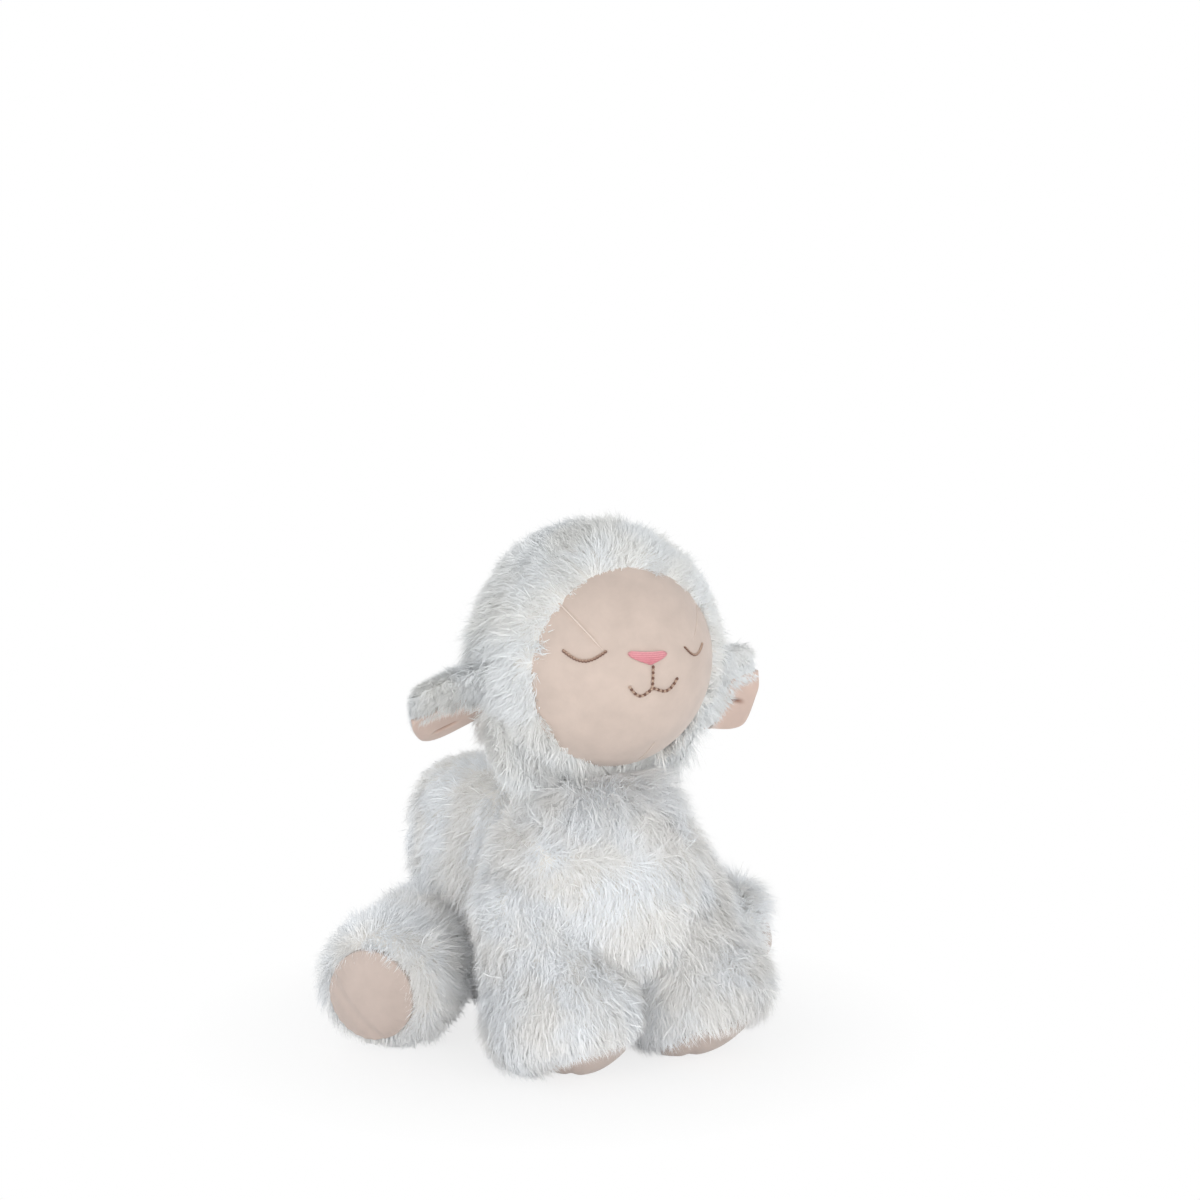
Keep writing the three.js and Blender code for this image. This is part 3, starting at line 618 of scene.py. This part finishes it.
def velboa(name, colour, edge):
    """Velboa, short clipped polyester pile: smooth and dull, faintly mottled where the nap
    is brushed this way or that. The second colour lies on its seams, and in a tight fold it
    is painted shade. The nap is drawn at 1.2 mm, coarser than the real one."""
    material, tree, shader = new_material(name)
    place = add_node(tree, "ShaderNodeTexCoord")
    cloth = two_colours(tree, colour, edge)
    nap = add_node(tree, "ShaderNodeTexNoise", {
        "Vector": place.outputs["Object"], "Scale": 830.0, "Detail": 2.0})
    drift = add_node(tree, "ShaderNodeTexNoise", {
        "Vector": place.outputs["Object"], "Scale": 90.0, "Detail": 4.0, "Roughness": 0.6})
    bump = add_node(tree, "ShaderNodeBump", {
        "Height": nap.outputs["Fac"], "Strength": 0.25, "Distance": 0.0003})
    tree.links.new(mottled(tree, cloth, drift, 0.2, 0.94, 1.05), shader.inputs["Base Color"])
    tree.links.new(bump.outputs[0], shader.inputs["Normal"])
    shader.inputs["Roughness"].default_value = 0.9
    shader.inputs["Specular IOR Level"].default_value = 0.15
    shader.inputs["Sheen Weight"].default_value = 0.3
    shader.inputs["Sheen Roughness"].default_value = 0.5
    return material


def thread(name, dark, pale, roughness):
    """Embroidery thread, twisted polyester or rayon: a soft shine, fine plies drawn at
    0.4 mm, and a darker and a paler side."""
    material, tree, shader = new_material(name)
    place = add_node(tree, "ShaderNodeTexCoord")
    strand = two_colours(tree, dark, pale)
    plies = add_node(tree, "ShaderNodeTexNoise", {
        "Vector": place.outputs["Object"], "Scale": 2500.0, "Detail": 1.0})
    tree.links.new(mottled(tree, strand, plies, 0.2, 0.88, 1.08), shader.inputs["Base Color"])
    shader.inputs["Roughness"].default_value = roughness
    return material


def fibre_fill(name, colour):
    """Polyester fibre fill: loose white fibres in soft lumps."""
    material, tree, shader = new_material(name)
    place = add_node(tree, "ShaderNodeTexCoord")
    lumps = add_node(tree, "ShaderNodeTexNoise", {
        "Vector": place.outputs["Object"], "Scale": 150.0, "Detail": 4.0})
    bump = add_node(tree, "ShaderNodeBump", {
        "Height": lumps.outputs["Fac"], "Strength": 0.6, "Distance": 0.002})
    tree.links.new(bump.outputs[0], shader.inputs["Normal"])
    shader.inputs["Base Color"].default_value = linear(colour)
    shader.inputs["Roughness"].default_value = 1.0
    return material


# Each wool's last colour is painted shade for its backing and the roots of its strands.
WOOL = acrylic_wool("acrylic_wool_body", "#fefdfb", "#fbfdff", "#e9e6e1")
# The head's wool is the body's wool painted darker all over, as painted shade for the weaker light on
# the head and ears.
SHADED_HEAD_WOOL = acrylic_wool("acrylic_wool_head_shaded", "#f3f3f1", "#f0f2f3", "#e2e0dc")
FACE_CLOTH = velboa("velboa_face", "#cebdb2", "#e2d2c8")
# The lining's second colour is painted shade, dark in the crease of its fold.
EAR_CLOTH = velboa("velboa_ear", "#d0b9ad", "#8f6a5b")
SOLE_CLOTH = velboa("velboa_sole", "#c9b9b0", "#ddcfc6")
BROWN = thread("polyester_thread_brown", "#755446", "#c0a592", 0.55)
# Its paler colour is painted light on the upper threads of the nose.
PINK = thread("rayon_thread_pink", "#c9707b", "#e7a5ab", 0.4)
FILL = fibre_fill("polyester_fibre_fill", "#f3f2ee")


# Wool skins


def outside(points, *tests):
    """1 where a point lies in none of the forms, 0 elsewhere."""
    free = points[:, 2] > 2
    for test in tests:
        free &= ~test(points)
    return free.astype(float)


def head_frame(test):
    """A test of the head's own frame for points of the sheep."""
    return lambda points: test(turned(points, -HEAD_TURN))


def above_ear(points):
    """From 1 over the root of the nearer ear to 0 at 30 mm from there."""
    near = np.array([ear.pivot + 6 * ear.way + [0, 0, 14] for ear in EARS.values()])
    far = np.linalg.norm(points[:, None] - near[None], axis=2).min(1)
    return np.clip(1.3 - far / 26, 0, 1)


def make_head_wool():
    """The hood: two halves of long wool that frame the face and run out into the ears."""
    def comb(points):
        away = unit(points - HEAD)
        back = Y * 0.7 - Z * (0.35 + 0.5 * (away[:, 2:] < 0))
        outward = unit((points - FACE) * [1, 0, 1])
        edge = np.clip(1 - on_rim(points) / 7, 0, 1)[:, None]
        rim = 0.35 * outward + 1.1 * wander(points, 4, 13)
        low = np.clip((148 - points[:, 2:]) / 20, 0, 1)
        lay = back * (1 - edge) + (rim - 1.2 * low * Z) * edge + 0.3 * wander(points, 3, 40)
        side = (np.sign(points[:, :1]) * X - 0.75 * Z) * 1.4
        root = above_ear(points)[:, None]
        return lay * (1 - root) + side * root

    def lengths(points):
        edge = np.clip(on_rim(points) / 12, 0, 1)
        low = np.clip((148 - points[:, 2]) / 20, 0, 1)
        return 6.5 + 3.5 * edge + 8.0 * above_ear(points) + 8.0 * low

    for side, half in SIGNS.items():
        def keep(points):
            inside = outside(
                points,
                lambda p: on_rim(p) < 0.2,
                lambda p: in_limbs(EARS, p, -5),
            )
            return inside * (points[:, 0] * half > 0)

        wool_piece(
            f"hood_wool_{side}", hood_form(BACKING), keep, comb, STRANDS["hood"], "head",
            [f"head_panel_{side}"], SHADED_HEAD_WOOL, 10 + half, half=half, turn=HEAD_TURN,
            rows=80, columns=90, length=lengths, stand=0.27,
        )


def make_body_wool():
    """The torso: two panels that meet on the middle seam."""
    def round_neck(points):
        far = np.linalg.norm(points - NECK, axis=1)
        return np.clip(1.9 - far / 27, 0, 1) * (points[:, 2] > 85)

    def comb(points):
        lay = -Z + Y * 0.25 * np.clip(points[:, 1:2] / 60, -1, 1) + 0.25 * wander(points, 5, 45)
        near = round_neck(points)[:, None]
        return lay * (1 - near) + unit(NECK + 40 * Z - points) * near

    def lengths(points):
        level, back = points[:, 2], points[:, 1]
        croup = np.clip((level - 95) / 15, 0, 1) * np.clip((back - 30) / 20, 0, 1)
        return 11.5 - 4.5 * croup + 6 * round_neck(points)

    for side, half in SIGNS.items():
        def keep(points):
            return outside(
                points, head_frame(lambda p: in_head(p, -9)),
                lambda p: in_limbs(LEGS, p, -9),
            ) * (points[:, 0] * half > 0)

        wool_piece(
            f"body_wool_{side}", torso_form(BACKING), keep, comb, STRANDS["body"], "torso",
            [f"body_panel_{side}"], WOOL, 20 + half, half=half, length=lengths, stand=0.25,
        )


def off_pad(name, points):
    """How far points of a leg lie outside the outline of its pad, seen along the leg."""
    leg, (across, up, wide, tall) = LEGS[name], PADS[name]
    own = leg.own(points)
    level = (own[:, 2] - leg.lift) / leg.flat - up
    return (np.hypot((own[:, 0] - across) / wide, level / tall) - 1) * wide


def make_leg_wool():
    """The legs: wool bags that taper to the hip. Round the sole the wool leans in, so that
    it hides the seam and hangs over the edge of the cloth."""
    for number, (name, leg) in enumerate(LEGS.items()):
        across, up, _, _ = PADS[name]
        heart = leg.world(across, leg.long, leg.lift + up * leg.flat)

        def comb(points):
            along = leg.own(points)[:, 1:2]
            edge = np.clip((along - leg.long * 0.75) / (leg.long * 0.2), 0, 1)
            lay = leg.way * SWEEP[name] - Z * 0.5 + 0.3 * wander(points, 30 + number, 30)
            return lay + edge * unit(heart - points) * 0.7

        def keep(points):
            def on_sole(p):
                return (leg.own(p)[:, 1] > leg.long * 0.86) & (off_pad(name, p) < -1)
            return outside(points, lambda p: in_torso(p, -12), on_sole)

        def lengths(points):
            over = np.clip(1 - off_pad(name, points) / 8, 0, 1)
            return LOFT[name][0] - 4 * over * (leg.own(points)[:, 1] > leg.long * 0.86)

        wool_piece(
            f"{name}_wool", leg.form(BACKING), keep, comb, STRANDS["leg"], name,
            [f"{name}_skin"], WOOL, 40 + 7 * number, stand=LOFT[name][1], length=lengths,
        )


def ear_place(side, points):
    """Where points lie on an ear: up over its width, out along it and in its thickness,
    the last below zero on the side of the lining, which looks forward and down."""
    own = EARS[side].own(points)
    return own[:, 0] * SIGNS[side], own[:, 1], own[:, 2]


def lining_top(side, along):
    """How high over the ear's width its lining shows: less near the head."""
    return np.interp(along, [0, 16, 23, EAR_LONG], LINING[side])


def ear_front(side, over, along):
    """The depth of the front of an ear's leaf, and its crown: 1 on the line, 0 at the rim."""
    wide = np.interp(along, EARS[side].places, EARS[side].radii)
    crown = np.sqrt(np.clip(1 - (over / np.maximum(wide, 1)) ** 2, 0, 1))
    return -0.8 - 2.6 * crown, crown


def ear_form(side):
    """The leaf of the ear drawn in under its wool, its front pressed flat."""
    ear = EARS[side]

    def surface(u, v):
        own = ear.own(ear.form(3.0)(u, v))
        front, crown = ear_front(side, own[:, 0], own[:, 1])
        return ear.world(own[:, 0], own[:, 1], np.maximum(own[:, 2], front + 0.7 + 2.1 * crown))
    return surface


def make_ear_wool():
    """The ears: wool leaves, bare in their lower front, where the lining shows. The wool
    above the lining hangs over its edge."""
    for number, (side, ear) in enumerate(EARS.items()):
        def fringe(points):
            over, along, depth = ear_place(side, points)
            past = over - lining_top(side, along)
            return np.clip(1 - past / 7, 0, 1) * (depth < 1) * (past > 0)

        def comb(points):
            return ear.way * 0.8 - Z * 0.9 + 0.25 * wander(points, 60 + number, 20)

        def keep(points):
            over, along, depth = ear_place(side, points)
            lining = (depth < 0.3) & (over < lining_top(side, along)) & (along > 1)
            return outside(points, lambda p: in_head(p, -12)) * ~lining

        def lengths(points):
            over, along, _ = ear_place(side, points)
            low = np.clip((-over - 8) / 8, 0, 1)
            long = np.interp(along, [0, 12, 28, EAR_LONG], [13.0, 8.5, 6.5, 5.0])
            return long * (1 - 0.5 * low)

        wool_piece(
            f"ear_{side}_wool", ear_form(side), keep, comb, STRANDS["ear"], f"ear_{side}",
            [f"ear_{side}_back"], SHADED_HEAD_WOOL, 80 + 7 * number, length=lengths, turn=HEAD_TURN,
            rows=40, columns=50, stand=lambda points: 0.3 + 0.25 * fringe(points),
        )


def make_neck_and_tail_wool():
    """The neck's dome between head and chest, and the tail's tuft."""
    def dome(u, v):
        return NECK + NECK_BALL * ball_rays(u, v)

    def keep_neck(points):
        level = points[:, 2]
        return outside(points, lambda p: in_torso(p, -10)) * (level > 92) * (level < 122)

    def comb_down(points):
        return -Z + 0.4 * wander(points, 71, 35)

    wool_piece(
        "neck_wool", dome, keep_neck, comb_down, STRANDS["neck"], "neck",
        ["neck_skin"], WOOL, 70, length=16.0, rows=40, columns=50,
    )

    def keep_tail(points):
        return outside(points, lambda p: in_torso(p, -8))

    def comb_tail(points):
        return TAIL.way - 0.3 * Z + 0.3 * wander(points, 72, 30)

    wool_piece(
        "tail_wool", TAIL.form(4.5), keep_tail, comb_tail, STRANDS["tail"], "tail",
        ["tail_skin"], WOOL, 73, length=11.0, rows=40, columns=40,
    )


# Face


# The reach of the face cloth from its middle, which the wool partly hides, and how thick
# it is drawn.
FACE_CAP = 47.0
CLOTH_THICK = 1.6
# The width and depth of the groove of a dart that is drawn in fully.
DART_WIDE, DART_DEEP = 2.4, 0.55
# The darts of the face cloth, from its edge inward, in degrees round and up, and how
# strongly each is drawn in.
DARTS = [
    ((-58.0, 37.5), (-24.0, 9.2), 1.0),
    ((58.8, 34.5), (28.5, 10.9), 0.45),
    ((19.0, -60.0), (14.7, -42.0), 0.5),
]


def on_face(round_, up, raised=0.0):
    """Points of the face ball by degrees round and up from its middle."""
    a, b = np.radians(round_), np.radians(up)
    way = np.stack([np.sin(a) * np.cos(b), -np.cos(a) * np.cos(b), np.sin(b)], axis=-1)
    return FACE + (FACE_RADIUS + np.asarray(raised)[..., None]) * way


def ridge(points, start, end, width, height):
    """A soft ridge over the ball of the face from one place to another."""
    a, b = on_face(*start) - FACE, on_face(*end) - FACE
    across = unit(np.cross(a, b))
    forward = unit(np.cross(across, a))
    rays = unit(points - FACE)
    angle = np.arctan2(rays @ forward, rays @ unit(a))
    share = angle / np.arctan2(b @ forward, b @ unit(a))
    off = FACE_RADIUS * (rays @ across)
    inside = np.clip(8 * (1 - share), 0, 1) * np.clip(8 * (share + 0.3), 0, 1)
    return height * np.exp(-(off / width) ** 2) * inside


def joined(parts):
    """Parts of points, faces and shares as one."""
    starts = np.cumsum([0] + [len(part[0]) for part in parts])
    faces = [part[1] + start for part, start in zip(parts, starts)]
    points = np.concatenate([part[0] for part in parts])
    return points, np.concatenate(faces), np.concatenate([part[2] for part in parts])


def tube(spine, radius, sides, share, flat=1.0):
    """A closed tube on the face: rings of points round a spine, lower by flat, and a point
    at each end. Gives points, faces and the share, the same all over it."""
    out = unit(spine - FACE)
    way = unit(np.gradient(spine, axis=0))
    side = np.cross(out, way)
    turn = 2 * np.pi * np.arange(sides) / sides
    ring = np.cos(turn)[:, None] * side[:, None] + flat * np.sin(turn)[:, None] * out[:, None]
    rings = spine[:, None] + radius[:, None, None] * ring
    points = np.concatenate([rings.reshape(-1, 3), spine[[0, -1]]])
    here = np.arange(sides)
    after = (here + 1) % sides
    faces = []
    for low in range(0, (len(spine) - 1) * sides, sides):
        high = low + sides
        faces.append(np.stack([low + here, low + after, high + after], axis=1))
        faces.append(np.stack([low + here, high + after, high + here], axis=1))
    last, end = (len(spine) - 1) * sides, len(spine) * sides
    faces.append(np.stack([after, here, np.full(sides, end)], axis=1))
    faces.append(np.stack([last + here, last + after, np.full(sides, end + 1)], axis=1))
    faces = facing_out(points - points.mean(0), np.concatenate(faces))
    return points, faces, np.full(len(points), share)


def welt(start, end, pull):
    """The sewn edge of a dart: a low tube over the ball from one place to another."""
    share = np.linspace(-0.05, 1, 40)[:, None]
    a, b = on_face(*start) - FACE, on_face(*end) - FACE
    spine = FACE + (FACE_RADIUS - 0.12) * unit(a + share * (b - a))
    radius = 0.36 * pull * np.clip(6 * (1 - share[:, 0]), 0.1, 1)
    return tube(spine, radius, 8, 0.6 + 0.4 * pull, flat=0.9)


def make_face():
    """The face cloth: a cap of a ball with the darts' grooves, u from its middle to past
    its edge and back to the middle behind, v around. The way back lies deeper by the
    cloth's thickness, so that the cloth is closed."""
    rings, columns = 119, 280
    rows = 2 * rings + 1

    def cap(u, v):
        reach_out = FACE_CAP * np.minimum(u, 1 - u) * rows / rings
        turn = 2 * np.pi * v
        x, z = reach_out * np.cos(turn) * 0.98, reach_out * np.sin(turn)
        radius = FACE_RADIUS - np.where(u < 0.5, 0, CLOTH_THICK)
        y = -np.sqrt(np.maximum(radius ** 2 - x ** 2 - z ** 2, 4.0))
        rays = np.stack([x, y, z], axis=-1)
        points = FACE + rays
        lift = sum(
            ridge(points, start, end, DART_WIDE, -DART_DEEP * pull) for start, end, pull in DARTS)
        return points + unit(rays) * np.where(u < 0.5, lift, 0)[:, None]

    points, faces, _ = grid(cap, rows, columns)
    cloth = (points, faces, np.zeros(len(points)))
    points, faces, share = joined([cloth, *(welt(*dart) for dart in DARTS)])
    mesh_piece(
        "face_cloth", turned(points), faces, FACE_CLOTH, "head", ["face_panel"],
        share=share,
    )


# Each stitch is a ball of so many rows and columns of faces, and so many points.
STITCH_STEPS = 8
STITCH_POINTS = (STITCH_STEPS - 1) * STITCH_STEPS + 2


def stitch_row(places, thick, long, slant, seed):
    """A row of stitches on the face: each is a stretched ball that lies along the path,
    turned by slant. Gives points, faces and how high over its stitch each point lies."""
    rng = np.random.default_rng(seed)
    path = on_face(places[:, 0], places[:, 1], np.full(len(places), thick * 0.35))
    steps = np.linalg.norm(np.diff(path, axis=0), axis=1)
    run = np.concatenate([[0], np.cumsum(steps)])
    count = max(2, round(run[-1] / long))
    centres = np.linspace(0, run[-1], 2 * count + 1)[1::2]
    middle, ahead, behind = (
        np.stack([np.interp(centres + step, run, path[:, i]) for i in range(3)], axis=1)
        for step in (0, 0.3, -0.3)
    )
    out = unit(middle - FACE)
    way = unit(ahead - behind)
    side = np.cross(out, way)
    tilt = np.radians(slant) + 0.06 * rng.normal(size=(len(middle), 1))
    along = np.cos(tilt) * way + np.sin(tilt) * side
    across = np.cross(out, along)
    ball, faces, _ = grid(lambda u, v: ball_rays(u, v, X), STITCH_STEPS, STITCH_STEPS)
    shape = ball[:, :1] * (long * 0.62), ball[:, 1:2] * (thick / 2), ball[:, 2:] * (thick / 2)
    points = middle[:, None] + sum(
        axis[:, None] * part[None] for axis, part in zip((along, across, out), shape))
    every = faces[None] + len(ball) * np.arange(len(middle))[:, None, None]
    return points.reshape(-1, 3), every.reshape(-1, 3), np.tile(ball[:, 1], len(middle))


def make_stitches():
    """The closed eyes in slanted stem stitch, paler along their lower edge, and the mouth
    in short back stitches, dark and pale by turns."""
    share = np.linspace(0, 1, 40)
    eyes = (("left", 1, 20.8, 37.8, 1.0), ("right", -1, 22.8, 44.6, 1.4))
    for side, sign, near, far, thick in eyes:
        places = np.stack([
            sign * (near + (far - near) * share), 9.5 - 5.0 * np.sin(np.pi * share)], axis=1)
        points, faces, high = stitch_row(places, thick, 1.3, 18 * sign, 90 + sign)
        pale = np.clip(0.3 + 0.9 * high * sign, 0, 1)
        mesh_piece(
            f"eye_{side}_stitches", turned(points), faces, BROWN, "head",
            [f"eye_stitch_{side}"], share=pale,
        )
    stem = np.stack([np.full(20, 0.6), np.linspace(1.6, -9.3, 20)], axis=1)
    rows = [stitch_row(stem, 1.25, 1.15, 0, 95)]
    for sign, out, end, dip in ((1, 14.6, -5.4, -11.6), (-1, 12.4, -8.0, -13.2)):
        chord = -9.6 * (1 - share) + end * share
        smile = chord - (chord - dip) * np.sin(np.pi * share)
        places = np.stack([0.8 + sign * out * share, smile], axis=1)
        rows.append(stitch_row(places, 1.3, 1.15, 0, 96 + sign))
    points, faces, _ = joined(rows)
    turns = np.arange(len(points)) // STITCH_POINTS % 2
    mesh_piece(
        "mouth_stitches", turned(points), faces, BROWN, "head",
        ["mouth_stitch"], share=turns * 0.85,
    )


def make_nose():
    """The nose in satin stitch: threads side by side across a rounded triangle, each a
    slim tube that follows the ball of the face, sags in its middle and swells there. The
    threads are paler towards the top and darker towards the bottom, painted light and
    shade, and every other thread is paler."""
    count, steps, sides = 12, 24, 8
    middle_round, middle_up = -2.2, 5.9
    parts = []
    for i in range(count):
        share = (i + 0.5) / count
        half = 9.6 * (1 - share ** 1.9) ** 0.8 * (1 - 0.3 * (1 - share) ** 6) + 0.4
        s = np.linspace(-1, 1, steps)
        height = 2.5 - 5.0 * share - 0.5 * (1 - s ** 2) - 0.3 * s * (1 - share)
        swell = 0.45 + 0.9 * (1 - s ** 2) * (1 - (2 * share - 0.9) ** 2 * 0.5)
        round_ = middle_round + np.degrees((s * half + 1.2 * share) / FACE_RADIUS)
        spine = on_face(round_, middle_up + np.degrees(height / FACE_RADIUS), swell)
        # painted light and shade: paler towards the top of the nose, darker towards its bottom; every
        # other thread is paler too
        pale = 1.0 - 0.6 * share - 0.4 * (i % 2)
        parts.append(tube(spine, 0.33 * np.sqrt(np.maximum(1 - s ** 8, 0.02)), sides, pale))
    points, faces, pale = joined(parts)
    mesh_piece(
        "nose_stitches", turned(points), faces, PINK, "head", ["nose_stitch"],
        share=pale,
    )


# Soles, ear linings and stuffing


def make_soles():
    """The soles: domed cloth discs gathered a little at their seams."""
    for name, leg in LEGS.items():
        across, up, wide, tall = PADS[name]

        def sole(u, v):
            share = np.sin(np.pi * np.minimum(u, 1 - u))
            turn = 2 * np.pi * v
            dome = 6.0 * (1 - share ** 2)
            pucker = 0.3 * np.sin(26 * turn) * share ** 6
            crease = 0.9 * np.exp(-((share * np.cos(turn + 0.7) - 0.45) / 0.12) ** 2)
            front = leg.long - 0.6 + dome + pucker - crease
            y = np.where(u < 0.5, front, leg.long - 4.5)
            x = across + (wide + 1) * share * np.cos(turn)
            z = leg.lift + (up + (tall + 1) * share * np.sin(turn)) * leg.flat
            return leg.world(x, y, z)

        points, faces, _ = grid(sole, 80, 160)
        points[:, 2] = np.maximum(points[:, 2], 0.05)
        mesh_piece(f"{name}_sole_cloth", points, faces, SOLE_CLOTH, name, [f"{name}_sole"])


def make_ear_linings():
    """The ear linings: a patch from the low edge of each ear up to the wool, crowned over
    its width and folded in along a slanting crease, where its colour is painted darker as
    painted shade."""
    for side, ear in EARS.items():
        def patch(u, v):
            share = np.sin(np.pi * np.minimum(u, 1 - u))
            turn = 2 * np.pi * v
            along = 19.5 + 19.3 * share * np.sin(turn)
            wide = np.interp(along, ear.places, ear.radii)
            low, high = -wide + 0.6, np.minimum(lining_top(side, along) + 2.5, wide - 0.6)
            chord = np.sqrt(np.maximum(1 - (share * np.sin(turn)) ** 2, 0.02))
            over = (low + high) / 2 + (high - low) / 2 * share * np.cos(turn) / chord
            front, crown = ear_front(side, over, along)
            level, middle, slope = CREASE[side]
            line = over - level - slope * (along - middle)
            # painted shade: through the share, the crease also darkens the lining's colour in the fold
            crease = np.exp(-(line / 0.9) ** 2 - ((along - middle) / 5) ** 4)
            depth = np.where(u < 0.5, front + 1.6 * crown * crease, front + 0.6 + 1.6 * crown)
            fold_shade.append(crease)
            return ear.world(SIGNS[side] * over, along, depth)

        fold_shade = []
        points, faces, _ = grid(patch, 70, 110)
        mesh_piece(
            f"ear_{side}_lining_cloth", turned(points), faces, EAR_CLOTH, f"ear_{side}",
            [f"ear_{side}_lining"], share=np.concatenate(fold_shade[::-1]),
        )


def make_stuffing():
    """Fibre fill: each form again, drawn in, with soft lumps."""
    def lumpy(surface, seed):
        def filled(u, v):
            points = surface(u, v)
            return points + 0.8 * wander(points, seed, 14)
        return filled

    fills = [
        ("body_fill", torso_form(12), "torso", "body_stuffing", 0),
        ("head_fill", hood_form(13), "head", "head_stuffing", HEAD_TURN),
        ("neck_fill", lambda u, v: NECK + (NECK_BALL - 7) * ball_rays(u, v), "neck", "neck_stuffing", 0),
        ("tail_fill", TAIL.form(7), "tail", "tail_stuffing", 0),
    ]
    fills += [(f"{n}_fill", leg.form(12), n, f"{n}_stuffing", 0) for n, leg in LEGS.items()]
    for number, (name, surface, body, node, turn) in enumerate(fills):
        points, faces, _ = grid(lumpy(surface, 100 + number), 30, 44)
        points[:, 2] = np.maximum(points[:, 2], 3)
        if turn:
            points = turned(points, turn)
        piece = mesh_piece(name, points, faces, FILL, body, [node])


# Stage


def look(way):
    """The turn that points a lamp or a camera, whose own view is along -Z, along a way."""
    return Vector(way).to_track_quat("-Z", "Y").to_euler()


def make_stage():
    """A white floor that keeps the shadow, soft lamps and a world that is white to see."""
    floor_mesh = bpy.data.meshes.new("floor")
    floor_mesh.from_pydata([(-6, -6, 0), (6, -6, 0), (6, 6, 0), (-6, 6, 0)], [], [(0, 1, 2, 3)])
    floor = bpy.data.objects.new("floor", floor_mesh)
    bpy.context.scene.collection.objects.link(floor)
    material = bpy.data.materials.new("floor_paper")
    material.use_nodes = True
    tree = material.node_tree
    tree.nodes.clear()
    diffuse = add_node(tree, "ShaderNodeBsdfDiffuse", {"Color": (0.95, 0.95, 0.95, 1)})
    glow = add_node(tree, "ShaderNodeEmission", {"Color": (1, 1, 1, 1), "Strength": 1.0})
    rays = add_node(tree, "ShaderNodeLightPath")
    place = add_node(tree, "ShaderNodeTexCoord")
    away = add_node(tree, "ShaderNodeVectorMath", {0: place.outputs["Object"]}, operation="LENGTH")
    fade = add_node(tree, "ShaderNodeMapRange", {
        "Value": away.outputs["Value"], "From Min": 0.08, "From Max": 0.17,
        "To Min": 0.8, "To Max": 1.0})
    seen = add_node(tree, "ShaderNodeMath", {
        0: rays.outputs["Is Camera Ray"], 1: fade.outputs[0]}, operation="MULTIPLY")
    mix = add_node(tree, "ShaderNodeMixShader", {
        0: seen.outputs[0], 1: diffuse.outputs[0], 2: glow.outputs[0]})
    add_node(tree, "ShaderNodeOutputMaterial", {"Surface": mix.outputs[0]})
    floor_mesh.materials.append(material)

    world = bpy.data.worlds.new("studio")
    bpy.context.scene.world = world
    world.use_nodes = True
    tree = world.node_tree
    tree.nodes.clear()
    rays = add_node(tree, "ShaderNodeLightPath")
    clear = add_node(tree, "ShaderNodeMath", {
        0: rays.outputs["Is Camera Ray"], 1: rays.outputs["Is Glossy Ray"]}, operation="MAXIMUM")
    clearer = add_node(tree, "ShaderNodeMath", {
        0: clear.outputs[0], 1: rays.outputs["Is Transmission Ray"]}, operation="MAXIMUM")
    way = add_node(tree, "ShaderNodeTexCoord")
    parts = add_node(tree, "ShaderNodeSeparateXYZ", {"Vector": way.outputs["Generated"]})
    height = add_node(tree, "ShaderNodeMapRange", {
        "Value": parts.outputs["Z"], "From Min": 0.0, "From Max": 0.8,
        "To Min": SKY_LOW, "To Max": SKY_HIGH})
    fill = add_node(tree, "ShaderNodeBackground", {
        "Color": (0.97, 0.985, 1.0, 1), "Strength": height.outputs[0]})
    white = add_node(tree, "ShaderNodeBackground", {"Color": (1, 1, 1, 1), "Strength": 1.0})
    mix = add_node(tree, "ShaderNodeMixShader", {
        0: clearer.outputs[0], 1: fill.outputs[0], 2: white.outputs[0]})
    add_node(tree, "ShaderNodeOutputWorld", {"Surface": mix.outputs[0]})

    for name, (place, wide, power, colour) in LAMPS.items():
        light = bpy.data.lights.new(name, "AREA")
        light.shape = "DISK"
        light.size = wide
        light.energy = power
        light.color = colour
        item = bpy.data.objects.new(name, light)
        bpy.context.scene.collection.objects.link(item)
        item.location = place
        item.rotation_euler = look(np.array([0, 0, 0.1]) - place)


def make_camera():
    """The photograph's camera: round to the sheep's right and a little above its middle."""
    data = bpy.data.cameras.new("camera")
    data.lens = CAMERA_LENS
    data.sensor_width = 36
    data.sensor_fit = "HORIZONTAL"
    camera = bpy.data.objects.new("camera", data)
    bpy.context.scene.collection.objects.link(camera)
    round_ = np.array([math.sin(CAMERA_TURN), -math.cos(CAMERA_TURN), 0])
    place = CAMERA_AWAY * round_ + CAMERA_HIGH * Z
    target = CAMERA_AIM * Z
    camera.location = (place + SHIFT) / 1000
    camera.rotation_euler = look((target - place) / 1000)
    bpy.context.scene.camera = camera


make_camera()
make_stage()
make_head_wool()
make_body_wool()
make_leg_wool()
make_ear_wool()
make_neck_and_tail_wool()
make_face()
make_stitches()
make_nose()
make_soles()
make_ear_linings()
make_stuffing()
bpy.context.scene.view_settings.view_transform = "Standard"
